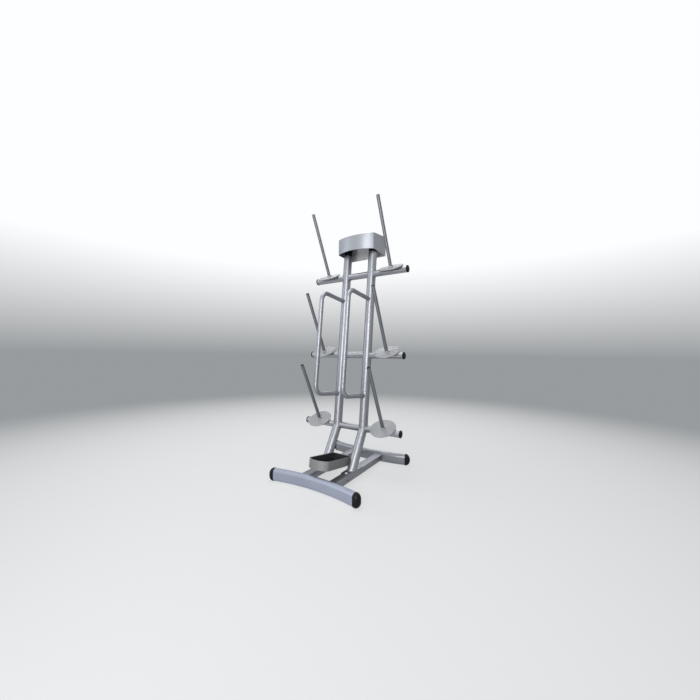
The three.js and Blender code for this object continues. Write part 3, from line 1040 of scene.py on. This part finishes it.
@dataclass
class Mast:
    """The two leaning tubes, the raking legs beneath them and their welds."""

    spacing: float = 206.0
    diameter: float = 60.0
    wall: float = 2.5
    lean: float = math.radians(5.1)
    leg_lean: float = math.radians(31)
    length: float = 1227.0
    kink_y: float = 63.0
    kink_z: float = 294.0
    foot_z: float = 64.1
    sides: int = 80
    edge: float = 0.3
    kink_seam: float = 1.54
    foot_seam: float = 2.2
    foot_seam_lift: float = 0.5

    @property
    def kink(self) -> Matrix:
        """A move to where the tubes' axes bend, on the rack's middle plane."""
        return shift(0, self.kink_y, self.kink_z)

    @property
    def place(self) -> Matrix:
        """The leaning frame: origin at the kink, Z up the tubes."""
        return self.kink @ tip(-self.lean)

    @property
    def leg_place(self) -> Matrix:
        """The raking frame: origin at the kink, Z up the legs."""
        return self.kink @ tip(-self.leg_lean)

    @property
    def top(self) -> Vector:
        """The top of the tubes' axes, on the rack's middle plane."""
        return self.place @ Vector((0, 0, self.length))

    def across(self, side: Side) -> float:
        """Where one tube and its leg are along X."""
        return side.value * self.spacing / 2

    def beside(self, side: Side, along: float = 0.0) -> Matrix:
        """A move from the rack's middle plane to one tube, and up it."""
        return shift(self.across(side), 0, along)

    def leg_y(self, height: float) -> float:
        """Where the legs' axes are along Y at a height above the floor."""
        return self.kink_y - (self.kink_z - height) * math.tan(self.leg_lean)

    def build(self) -> None:
        """Makes the tubes, the legs and the welds at their joints."""
        mitre = (self.place.to_3x3() @ UP + self.leg_place.to_3x3() @ UP).normalized()
        rim = plan_circle(self.diameter, self.sides)
        for side in Side:
            upper = self.place @ self.beside(side)
            lower = self.leg_place @ self.beside(side)
            cut = reach_to(upper, upper.translation, mitre)
            leg_cut = reach_to(lower, upper.translation, mitre)
            floor_cut = reach_to(lower, UP * self.foot_z, UP)
            tube = pipe(self.diameter, self.wall, cut, self.length, self.sides, self.edge)
            make_piece("mast_tube", tube, upper, SILVER, "upright", side)
            leg = pipe(self.diameter, self.wall, floor_cut, leg_cut, self.sides, 0.0)
            make_piece("mast_leg", leg, lower, SILVER, "leg", side)
            joint = Bead(self.kink_seam).form(raised(rim, cut))
            make_piece("kink_weld", joint, upper, SILVER, None, side)
            foot = Bead(self.foot_seam).form(raised(rim, floor_cut, self.foot_seam_lift))
            make_piece("leg_weld", foot, lower, SILVER, None, side)


@dataclass
class PlateRow:
    """One cross tube with its caps, its two seats and their pins."""

    row: Row
    mast: Mast
    diameter: float = 45.0
    wall: float = 2.0
    length: float = 732.0
    sides: int = 64
    cap: Cap = Cap(proud=1.5, rim=8.0, dome=6.0, sides=64)
    seam: float = 2.4
    seam_steps: int = 96
    seat_spacing: float = 508.0
    seat_diameter: float = 170.0
    seat_thickness: float = 6.0
    seat_edge: float = 1.6
    seat_edge_turns: tuple[float, ...] = (0.5, 1.0, QUARTER)
    seat_sides: int = 112
    seat_seam: float = 1.9
    seat_seam_x: tuple[float, ...] = (-46.0, -15.0, 15.0, 46.0)
    seat_seam_y: float = 6.5
    seat_seam_sunk: float = 0.9
    boss_diameter: float = 34.0
    boss_height: float = 9.0
    boss_round: float = 2.0
    boss_steps: int = 3
    boss_weld: tuple[Span, ...] = ((3.2, 0.0), (1.2, 0.5), (0.2, 1.9))
    pin_tilt: float = math.radians(32.4)
    pin_diameter: float = 22.0
    pin_wall: float = 2.0
    pin_root: float = 17.0
    pin_reach: float = 471.0
    pin_sides: int = 40
    pin_edge: float = 0.3
    pin_cap: Cap = Cap(proud=0.8, rim=2.0, dome=2.5, sides=40)

    def build(self) -> None:
        """Makes the row's tube, caps, welds, seats and pins."""
        place = self.mast.place @ shift(0, 0, self.row.value)
        lying = place @ tip(QUARTER, "Y")
        half = self.length / 2
        bar = pipe(self.diameter, self.wall, -half, half, self.sides)
        # The cross tube's lighter copy of the silver coat is painted light.
        make_piece("cross_bar", bar, lying, BAR_SILVER_PAINTED_LIGHT, "cross_tube", self.row)
        cap = self.cap.form(self.diameter, self.wall)
        for side in Side:
            end = place @ shift(side.value * half) @ tip(side.value * QUARTER, "Y")
            make_piece("bar_end_cap", cap, end, PLASTIC, "cross_tube_cap", self.row, side)
            self.build_welds(side, place @ self.mast.beside(side))
            station = place @ shift(side.value * self.seat_spacing / 2) @ tip(self.pin_tilt)
            self.build_seat(side, station)
            self.build_pin(side, station)

    def build_welds(self, side: Side, place: Matrix) -> None:
        """Makes the beads where the cross tube goes into and out of one mast tube.

        Args:
            side: of the rack.
            place: the mast tube's frame at the row.
        """
        seam = saddle(self.diameter, self.mast.diameter, self.seam_steps)
        bead = Bead(self.seam).form(seam)
        beads = together(bead.moved(tip(way * QUARTER, "Y")) for way in (-1, 1))
        make_piece("bar_weld", beads, place, SILVER, None, self.row, side)

    def build_seat(self, side: Side, station: Matrix) -> None:
        """Makes a round seat with its boss and the welds under it.

        Args:
            side: of the rack.
            station: the pin's frame, its Z axis along the pin.
        """
        low = self.diameter / 2 + GAP
        high = low + self.seat_thickness
        top = high + self.boss_height
        bore = self.pin_diameter / 2 + GAP
        radius, edge = self.seat_diameter / 2, self.seat_edge
        boss, soft = self.boss_diameter / 2, self.boss_round
        profile = [(bore, low), (radius - edge, low)]
        for t in self.seat_edge_turns:
            profile.append((radius - edge + edge * math.sin(t), low + edge - edge * math.cos(t)))
        profile += quarter_round(radius, high - edge, edge, edge, EDGE_STEPS)
        profile += [(boss + out, high + up) for out, up in self.boss_weld]
        profile += quarter_round(boss, top - soft, soft, soft, self.boss_steps)
        profile.append((bore, top))
        seat = turned(profile, self.seat_sides)
        make_piece("seat_disc", seat, station, SEAT_GREY, "plate_seat", self.row, side)
        seam = [Vector((x, 0, low - self.seat_seam_sunk)) for x in self.seat_seam_x]
        bead = Bead(self.seat_seam).form(seam, False)
        beads = together(bead.moved(shift(0, way * self.seat_seam_y)) for way in (-1, 1))
        make_piece("seat_weld", beads, station, SILVER, None, self.row, side)

    def build_pin(self, side: Side, station: Matrix) -> None:
        """Makes a plate pin and its cap.

        Args:
            side: of the rack.
            station: the pin's frame, its Z axis along the pin.
        """
        pin = pipe(
            self.pin_diameter, self.pin_wall, -self.pin_root, self.pin_reach, self.pin_sides, self.pin_edge
        )
        make_piece("pin_tube", pin, station, PIN_SILVER, "plate_pin", self.row, side)
        cap = self.pin_cap.form(self.pin_diameter, self.pin_wall)
        end = station @ shift(0, 0, self.pin_reach)
        make_piece("pin_end_cap", cap, end, PLASTIC, "pin_cap", self.row, side)


@dataclass
class Guards:
    """The two bent guards that keep the bars apart."""

    mast: Mast
    diameter: float = 28.0
    reach: float = 281.0
    bend: float = 60.0
    low: float = 217.0
    high: float = 883.0
    tuck: float = 2.0
    bend_steps: int = 18
    sides: int = 36
    seam: float = 2.2
    seam_steps: int = 64

    def build(self) -> None:
        """Makes both guards and the welds at their ends."""
        bead = Bead(self.seam).form(saddle(self.diameter, self.mast.diameter, self.seam_steps))
        forward = tip(QUARTER, "X") @ tip(QUARTER, "Z")
        for side in Side:
            place = self.mast.place @ self.mast.beside(side)
            make_piece("guard_loop", self.loop(), place, SILVER, "bar_guard", side)
            beads = together(bead.moved(shift(0, 0, z) @ forward) for z in (self.low, self.high))
            make_piece("guard_weld", beads, place, SILVER, None, side)

    def loop(self) -> Form:
        """The bent bar: forward from the mast, down and back.

        Returns:
            The bar in the mast tube's frame.
        """
        straight = self.reach - self.bend
        start = self.tuck - self.mast.diameter / 2
        stations = [(start, self.high, 0.0)]
        for centre, first in ((self.high - self.bend, 0.0), (self.low + self.bend, QUARTER)):
            for i in range(self.bend_steps + 1):
                turn = first + QUARTER * i / self.bend_steps
                y, z = -straight - self.bend * math.sin(turn), centre + self.bend * math.cos(turn)
                stations.append((y, z, turn))
        stations.append((start, self.low, 2 * QUARTER))
        section = circle(self.diameter / 2, 0, self.sides)
        rings = []
        for y, z, turn in stations:
            sine, cosine = math.sin(turn), math.cos(turn)
            rings.append([Vector((p.y, y - p.x * sine, z + p.x * cosine)) for p in section])
        return ringed(rings)


@dataclass
class Header:
    """The bowed sheet box on top that holds the bars' upper ends."""

    mast: Mast
    width: float = 292.0
    depth: float = 186.0
    bow: float = 46.0
    bow_steps: int = 40
    sheet: float = 2.5
    front_height: float = 111.0
    rear_height: float = 143.0
    corner_ahead: float = 66.0
    lid_inset: float = 1.0
    lid_sheet: float = 2.5
    fold: float = 5.0
    fold_steps: int = 6
    shell_edge: float = 0.7
    sheet_edge: float = 0.5
    sleeve_wall: float = 6.0
    sleeve_edge: float = 0.6
    sleeve_sides: int = 64
    screw: Screw = Screw(shank=8.0, head=18.0, head_height=5.0, key=6.0)
    screw_length: float = 30.0

    @property
    def place(self) -> Matrix:
        """The header's frame: level, on the mast's top."""
        return Matrix.Translation(self.mast.top)

    @property
    def slope(self) -> float:
        """How steeply the top rises to the rear."""
        return math.atan2(self.rear_height - self.front_height, self.depth)

    def top_at(self, sunk: float) -> Height:
        """The sloping top, lowered square to it by a distance."""
        front = self.front_height - sunk / math.cos(self.slope)
        return lambda x, y: front + (y + self.corner_ahead) * math.tan(self.slope)

    def build(self) -> None:
        """Makes the shell, back and lid, and what joins them to the mast."""
        rear = self.depth - self.corner_ahead
        path = bowed_path(self.width, rear, -self.corner_ahead, self.bow, self.bow_steps)
        folded = softened(path, (1, self.bow_steps + 1), self.fold, self.fold_steps)
        shell = wall(folded, False, self.sheet, 0, self.top_at(0), self.shell_edge)
        make_piece("header_front", shell, self.place, HEADER_SILVER, "header_shell", crease=BOW_CREASE)
        half = self.width / 2 - self.sheet - GAP
        outline = [(-half, rear - self.sheet), (half, rear - self.sheet), (half, rear), (-half, rear)]
        back = slab(outline, 0, self.top_at(0), self.sheet_edge)
        # The back panel's light grey is painted light inside the header.
        make_piece("header_back_panel", back, self.place, BACK_GREY_PAINTED_LIGHT, "header_back")
        low, high = self.top_at(self.lid_inset + self.lid_sheet), self.top_at(self.lid_inset)
        lid = slab(inset(path, self.sheet + GAP), low, high, self.sheet_edge)
        make_piece("header_lid_panel", lid, self.place, HEADER_SILVER, "header_lid")
        self.build_sleeves()

    def build_sleeves(self) -> None:
        """Makes the black sleeves on the mast tubes and the screws down into them."""
        under = self.lid_inset + self.lid_sheet + GAP
        normal = Vector((0, -math.sin(self.slope), math.cos(self.slope)))
        corner = self.place @ Vector((0, -self.corner_ahead, self.front_height))
        for side in Side:
            place = self.mast.place @ self.mast.beside(side, self.mast.length)
            high = reach_to(place, corner - normal * under, normal)
            sleeve = pipe(
                self.mast.diameter, self.sleeve_wall, GAP, high, self.sleeve_sides, self.sleeve_edge
            )
            make_piece("mast_sleeve", sleeve, place, PLASTIC, "upright_plug", side)
            along = reach_to(place, corner - normal * self.lid_inset, normal)(0, 0)
            seat = Matrix.Translation(place @ Vector((0, 0, along))) @ tip(self.slope)
            screw = self.screw.form(self.screw_length)
            make_piece("lid_screw", screw, seat, ZINC, "header_screw", side)


@dataclass
class Tray:
    """The bowed tray between the legs that holds the bars' lower ends."""

    mast: Mast
    height_of_bolts: float = 104.0
    tilt: float = math.radians(8.8)
    front_reach: float = 234.0
    rear_margin: float = 20.0
    bow: float = 33.0
    bow_steps: int = 14
    corner: float = 8.0
    corner_steps: int = 6
    height: float = 54.0
    wall: float = 3.0
    band_edge: float = 0.8
    floor: float = 3.0
    floor_edge: float = 0.5
    liner_wall: float = 3.0
    liner_floor: float = 5.0
    liner_drop: float = 3.0
    liner_edge: float = 1.0
    liner_fillet: float = 4.0
    lip_shares: Span = (0.6, 0.8)
    fillet_share: float = 0.3
    bolt: Screw = Screw(shank=8.0, head=16.0, head_height=4.0, key=5.0)
    bolt_past_leg: float = 8.0

    @property
    def width(self) -> float:
        """Between the legs, with a fitting gap on each side."""
        return self.mast.spacing - self.mast.diameter - 2 * GAP

    @property
    def place(self) -> Matrix:
        """The tray's frame: origin between its two bolts."""
        return shift(0, self.mast.leg_y(self.height_of_bolts), self.height_of_bolts) @ tip(-self.tilt)

    def outline(self, depth: float) -> Plan:
        """The tray's plan.

        Args:
            depth: how far it is inset from the tray's outer face.

        Returns:
            The closed outline.
        """
        path = bowed_path(self.width, self.rear_margin, -self.front_reach, self.bow, self.bow_steps)
        corners = (0, 1, self.bow_steps + 1, self.bow_steps + 2)
        return inset(softened(path, corners, self.corner, self.corner_steps), depth)

    def build(self) -> None:
        """Makes the band, floor, liner and bolts."""
        low, high = -self.height / 2, self.height / 2
        inside = self.wall + GAP
        band = wall(self.outline(0), True, self.wall, low, high, self.band_edge)
        make_piece("tray_strip", band, self.place, TRAY_SILVER, "tray_band", crease=BOW_CREASE)
        floor = slab(self.outline(inside), low, low + self.floor, self.floor_edge)
        make_piece("tray_bottom", floor, self.place, TRAY_SILVER, "tray_floor")
        make_piece("tray_rubber", self.liner(inside), self.place, RUBBER, "tray_liner", crease=BOW_CREASE)
        depth = inside + self.liner_wall
        seat = self.width / 2 - depth
        bolt = self.bolt.form(depth + GAP + self.mast.wall + self.bolt_past_leg)
        for side in Side:
            place = self.place @ shift(side.value * seat) @ tip(-side.value * QUARTER, "Y")
            make_piece("tray_screw", bolt, place, DULL_ZINC, "tray_bolt", side)

    def liner(self, inside: float) -> Form:
        """The rubber tub in the tray.

        Args:
            inside: how far it lies within the tray's outer face.

        Returns:
            The tub.
        """
        low = -self.height / 2 + self.floor + GAP
        bed = low + self.liner_floor
        high = self.height / 2 - self.liner_drop
        thick, edge, fillet = self.liner_wall, self.liner_edge, self.liner_fillet
        outer, inner = (edge * share for share in self.lip_shares)
        turn = fillet * self.fillet_share
        lanes = (
            (edge, low), (0.0, low + edge), (0.0, high - edge), (outer, high), (thick - inner, high),
            (thick, high - edge), (thick, bed + fillet), (thick + turn, bed + turn), (thick + fillet, bed),
        )
        return ringed([raised(self.outline(inside + depth), z) for depth, z in lanes])


@dataclass
class Foot:
    """One bowed oval foot with its two domed end caps."""

    end: End
    spread: float = 698.0
    span: float = 580.0
    bow: float = 35.0
    height: float = 76.0
    width: float = 44.0
    centre: float = 38.5
    wall: float = 2.5
    steps: int = 48
    oval_flat: float = 0.01
    oval_steps: int = 12
    cap_proud: float = 2.0
    cap_straight: float = 6.0
    cap_dome: float = 30.0
    cap_dome_share: float = 0.97
    cap_dome_steps: int = 14
    cap_spigot: float = 26.0
    cap_play: float = 1.2
    cap_rim: tuple[Span, ...] = (
        (0.8, 0.3), (0.2, 0.5), (0.0, 1.1), (0.0, 3.4), (0.5, 3.9), (0.5, 4.5), (0.0, 5.0)
    )
    cap_crease: float = 50.0

    @property
    def radius(self) -> float:
        """Of the foot's bow in plan."""
        return ((self.span / 2) ** 2 + self.bow ** 2) / (2 * self.bow)

    @property
    def half_angle(self) -> float:
        """Half the angle that the bow turns through."""
        return math.asin(self.span / 2 / self.radius)

    @property
    def middle(self) -> float:
        """How far the bow's middle lies ahead of the rack's centre."""
        return self.spread / 2 - self.bow

    @property
    def turn(self) -> Matrix:
        """Turns the front foot's frame to this foot."""
        return tip(0.0 if self.end is End.FRONT else math.pi, "Z")

    def inner_face(self, x: float, z: float) -> float:
        """Where the front foot's rear face lies.

        Args:
            x: across the rack.
            z: above the floor.

        Returns:
            Its place along Y.
        """
        beyond = max(0.0, abs(z - self.centre) - (self.height - self.width) / 2)
        half = math.sqrt(max(0.0, (self.width / 2) ** 2 - beyond ** 2))
        return -self.middle - self.radius + math.sqrt((self.radius + half) ** 2 - x ** 2)

    def oval(self, height: float, width: float) -> Plan:
        """A flat-sided oval round its middle, its long way along the first axis."""
        return rounded_box(height, width, width / 2 - self.oval_flat, self.oval_steps)

    def build(self) -> None:
        """Makes the foot and its caps."""
        section = self.oval(self.height, self.width)
        rings = []
        for i in range(self.steps + 1):
            angle = self.half_angle * (2 * i / self.steps - 1)
            rings.append([
                Vector((
                    (self.radius + out) * math.sin(angle),
                    -self.middle + (self.radius + out) * math.cos(angle) - self.radius,
                    self.centre + up,
                )) for up, out in section
            ])
        # The front foot takes the lighter copy of the coat as painted light, the rear foot the darker copy as
        # painted shade.
        coat = FOOT_SILVER_PAINTED_LIGHT if self.end is End.FRONT else BASE_SILVER_PAINTED_SHADE
        make_piece("foot_tube", ringed(rings), self.turn, coat, "foot", self.end)
        cap = self.cap()
        for side in Side:
            way = side.value
            outward = Vector((way * math.cos(self.half_angle), -math.sin(self.half_angle), 0))
            end = shift(way * self.span / 2, -self.middle - self.bow, self.centre)
            place = self.turn @ end @ facing(UP, outward.cross(UP), outward)
            seen = side if self.end is End.FRONT else Side(-way)
            parts = (self.end, seen)
            make_piece("foot_end_cap", cap, place, PLASTIC, "foot_cap", *parts, crease=self.cap_crease)

    def cap(self) -> Form:
        """The domed cap: Z out of the tube, X up, cut flat on the floor.

        Returns:
            The cap.
        """
        tall, wide = self.height + 2 * self.cap_proud, self.width + 2 * self.cap_proud
        play = 2 * (self.cap_proud + self.wall + self.cap_play)
        plug = self.oval(tall - play, wide - play)
        sections = [(plug, -self.cap_spigot), (plug, GAP)]
        sections += [(self.oval(tall - 2 * depth, wide - 2 * depth), z) for depth, z in self.cap_rim]
        for i in range(self.cap_dome_steps + 1):
            steep = QUARTER * self.cap_dome_share * i / self.cap_dome_steps
            outline = [(u * math.cos(steep), v * math.cos(steep)) for u, v in self.oval(tall, wide)]
            sections.append((outline, self.cap_straight + self.cap_dome * math.sin(steep)))
        return ringed([[Vector((max(u, -self.centre), v, z)) for u, v in outline] for outline, z in sections])


@dataclass
class Base:
    """The box rails between the feet, the plates under the legs and their bolts."""

    mast: Mast
    foot: Foot
    width: float = 60.0
    height: float = 40.0
    corner: float = 5.0
    corner_steps: int = 5
    seam: float = 2.2
    plate_length: float = 172.0
    plate_thickness: float = 5.0
    plate_corner: float = 6.0
    plate_edge: float = 0.8
    bolt: Screw = Screw(shank=10.0, head=19.0, head_height=6.0, key=8.0)
    bolt_length: float = 20.0
    bolt_spacing: float = 136.0
    hole_diameter: float = 12.0
    hole_ahead_of_bolt: float = 32.0
    hole_depth: float = 24.0
    hole_sides: int = 32

    @property
    def rail_top(self) -> float:
        """The rails' upper face above the floor."""
        return self.foot.centre + self.height / 2

    @property
    def leg_foot_y(self) -> float:
        """Where the legs' axes meet the plates."""
        return self.mast.leg_y(self.rail_top + GAP + self.plate_thickness)

    def side_hole(self, side: Side) -> Form:
        """The hole in a rail's outer face, as the form that it takes away.

        Args:
            side: of the rack.

        Returns:
            A rod across the rail's outer face.
        """
        radius, outer = self.hole_diameter / 2, self.width / 2
        start, stop = outer - self.hole_depth, outer + radius
        rod = turned([(0.0, start), (radius, start), (radius, stop), (0.0, stop)], self.hole_sides)
        y = self.leg_foot_y - self.bolt_spacing / 2 - self.hole_ahead_of_bolt
        return rod.moved(shift(self.mast.across(side), y, self.foot.centre) @ tip(side.value * QUARTER, "Y"))

    def rail_end(self, side: Side, end: End) -> Ring:
        """Where a rail meets one of the feet.

        Args:
            side: of the rack.
            end: which foot it is.

        Returns:
            The seam between them.
        """
        ring = []
        for u, v in rounded_box(self.width, self.height, self.corner, self.corner_steps):
            x, z = self.mast.across(side) + u, self.foot.centre + v
            ring.append(Vector((x, -end.value * self.foot.inner_face(x, z), z)))
        return ring

    def build(self) -> None:
        """Makes both rails with their welds, plates and bolts."""
        outline = rounded_box(self.width, self.plate_length, self.plate_corner, self.corner_steps)
        plate = slab(outline, 0, self.plate_thickness, self.plate_edge)
        bolt = self.bolt.form(self.bolt_length)
        ground = Matrix.Identity(4)
        for side in Side:
            seams = [self.rail_end(side, end) for end in End]
            rail = ringed(seams).less(self.side_hole(side))
            # The rails, their welds and the leg plates take the darker copy of the silver coat, which is
            # painted shade.
            make_piece("rail_tube", rail, ground, BASE_SILVER_PAINTED_SHADE, "base_rail", side)
            beads = together(Bead(self.seam).form(seam) for seam in seams)
            make_piece("rail_weld", beads, ground, BASE_SILVER_PAINTED_SHADE, None, side)
            place = shift(self.mast.across(side), self.leg_foot_y, self.rail_top + GAP)
            make_piece("leg_plate", plate, place, BASE_SILVER_PAINTED_SHADE, "base_plate", side)
            for end in End:
                seat = place @ shift(0, end.value * self.bolt_spacing / 2, self.plate_thickness)
                make_piece("plate_bolt", bolt, seat, ZINC, "base_bolt", end, side)


# Studio


@dataclass(frozen=True)
class Viewpoint:
    """The camera, where the rack was seen from."""

    place: tuple[float, float, float] = (1.0597, -1.6527, 0.7830)
    yaw: float = math.radians(31.924)
    pitch: float = math.radians(1.035)
    roll: float = math.radians(0.753)
    focal_pixels: float = 290.92
    frame_pixels: float = 700.0
    sensor: float = 36.0
    nearest: float = 0.05
    farthest: float = 100.0

    def set_up(self) -> None:
        """Makes the scene's camera."""
        across, along = math.sin(self.yaw), math.cos(self.yaw)
        ahead = Vector((-across * math.cos(self.pitch), along * math.cos(self.pitch), math.sin(self.pitch)))
        flat = Vector((along, across, 0))
        rise = flat.cross(ahead)
        right = flat * math.cos(self.roll) + rise * math.sin(self.roll)
        up = rise * math.cos(self.roll) - flat * math.sin(self.roll)
        data = bpy.data.cameras.new("studio_camera")
        data.sensor_width = self.sensor
        data.lens = self.focal_pixels / self.frame_pixels * self.sensor
        data.clip_start, data.clip_end = self.nearest, self.farthest
        camera = in_scene("studio_camera", data)
        camera.matrix_world = Matrix.Translation(self.place) @ facing(right, up, -ahead)
        bpy.context.scene.camera = camera
        log.info("set up the camera")


@dataclass(frozen=True)
class SoftBox:
    """A rectangular studio lamp aimed at a point."""

    name: str
    place: tuple[float, float, float]
    aim: tuple[float, float, float]
    size: tuple[float, float]
    watts: float
    tint: Colour = (1.0, 1.0, 1.0)

    def hang(self) -> None:
        """Hangs the lamp."""
        data = bpy.data.lights.new(self.name, "AREA")
        data.shape = "RECTANGLE"
        data.size, data.size_y = self.size
        data.energy = self.watts
        data.color = self.tint
        lamp = in_scene(self.name, data)
        lamp.location = self.place
        lamp.rotation_mode = "QUATERNION"
        lamp.rotation_quaternion = (Vector(self.aim) - Vector(self.place)).to_track_quat("-Z", "Y")
        log.info("hung %s", self.name)


@dataclass(frozen=True)
class Studio:
    """A plain pale room whose backdrop darkens towards the horizon, and its soft lamps."""

    horizon: Colour = (0.315, 0.33, 0.34)
    ceiling: Colour = (0.98, 0.99, 1.0)
    ceiling_rise: float = 0.28
    fill_colour: Colour = (0.90, 0.95, 1.0)
    fill: float = 0.05
    floor_colour: Colour = (0.62, 0.63, 0.64)
    floor_reach: float = 40.0
    floor_near: Colour = (0.95, 0.96, 0.97)
    near_radius: float = 1.0
    far_radius: float = 4.4
    near_glow: float = 0.62
    lamps: tuple[SoftBox, ...] = (
        SoftBox("key_soft_box", (1.1, -2.57, 1.75), (0.0, 0.0, 1.25), (1.3, 1.8), 55.0),
        SoftBox("left_soft_box", (-4.0, -2.4, 2.0), (0.0, 0.0, 0.9), (3.4, 2.8), 50.0, (0.88, 0.94, 1.0)),
        SoftBox("low_soft_box", (0.4, -2.2, 0.3), (0.0, -0.6, 2.6), (0.7, 0.4), 16.0),
        SoftBox("rear_soft_box", (-1.5, 2.9, 2.9), (0.0, 0.1, 0.9), (1.8, 1.8), 36.0),
        SoftBox("top_soft_box", (-0.5, -0.2, 2.9), (0.0, 0.0, 0.5), (1.5, 1.5), 24.0),
    )

    def build(self) -> None:
        """Makes the room, its light and its floor."""
        bpy.context.scene.view_settings.view_transform = "Standard"
        self.light_world()
        self.lay_floor()
        for lamp in self.lamps:
            lamp.hang()

    @staticmethod
    def seen_rays(bench: NodeBench) -> Socket:
        """Adds a value that is one for camera, glossy and transmission rays.

        Args:
            bench: the tree to add it to.

        Returns:
            The value.
        """
        rays = bench.node("ShaderNodeLightPath")
        seen = bench.combined("MAXIMUM", rays.outputs["Is Camera Ray"], rays.outputs["Is Glossy Ray"])
        return bench.combined("MAXIMUM", seen, rays.outputs["Is Transmission Ray"])

    def light_world(self) -> None:
        """Gives the room an even fill, and a pale backdrop for what looks at it."""
        world = bpy.data.worlds.new("studio_room")
        world.use_nodes = True
        bpy.context.scene.world = world
        bench = NodeBench(world.node_tree, "ShaderNodeOutputWorld")
        fill = bench.plain("ShaderNodeBackground", self.fill_colour)
        fill.inputs["Strength"].default_value = self.fill
        way = bench.node("ShaderNodeSeparateXYZ")
        bench.link(bench.node("ShaderNodeTexCoord").outputs["Generated"], way.inputs[0])
        rise = bench.spread(way.outputs["Z"], (0.0, 1.0), (0.0, self.ceiling_rise))
        backdrop = bench.plain("ShaderNodeBackground", bench.mix(rise, self.horizon, self.ceiling))
        bench.show(self.seen_rays(bench), fill, backdrop)

    def lay_floor(self) -> None:
        """Lays a pale floor that keeps the rack's shadow and fades into the backdrop."""
        material = bpy.data.materials.new("studio_floor_paint")
        material.use_nodes = True
        bench = NodeBench(material.node_tree, "ShaderNodeOutputMaterial")
        distance = bench.node("ShaderNodeVectorMath", operation="LENGTH")
        bench.link(bench.node("ShaderNodeTexCoord").outputs["Object"], distance.inputs[0])
        away, span = distance.outputs["Value"], (self.near_radius, self.far_radius)
        faded = bench.spread(away, (0.0, 1.0), span, "SMOOTHSTEP")
        paint = bench.plain("ShaderNodeBsdfDiffuse", self.floor_colour)
        glow = bench.plain("ShaderNodeEmission", bench.mix(faded, self.floor_near, self.horizon))
        share = bench.spread(away, (self.near_glow, 1.0), span, "SMOOTHSTEP")
        bench.show(bench.combined("MULTIPLY", self.seen_rays(bench), share), paint, glow)
        reach = self.floor_reach
        corners = [(-reach, -reach, 0), (reach, -reach, 0), (reach, reach, 0), (-reach, reach, 0)]
        mesh = bpy.data.meshes.new("studio_floor")
        mesh.from_pydata(corners, [], [(0, 1, 2, 3)])
        mesh.materials.append(material)
        floor = in_scene("studio_floor", mesh)
        log.info("laid the floor")


def main() -> None:
    """Builds the rack and its studio in order."""
    logging.basicConfig(level=logging.INFO, format="%(name)s: %(message)s")
    Viewpoint().set_up()
    mast = Mast()
    mast.build()
    for row in Row:
        PlateRow(row, mast).build()
    Guards(mast).build()
    Header(mast).build()
    Tray(mast).build()
    front = Foot(End.FRONT)
    front.build()
    Foot(End.REAR).build()
    Base(mast, front).build()
    Studio().build()


if __name__ == "__main__":
    main()
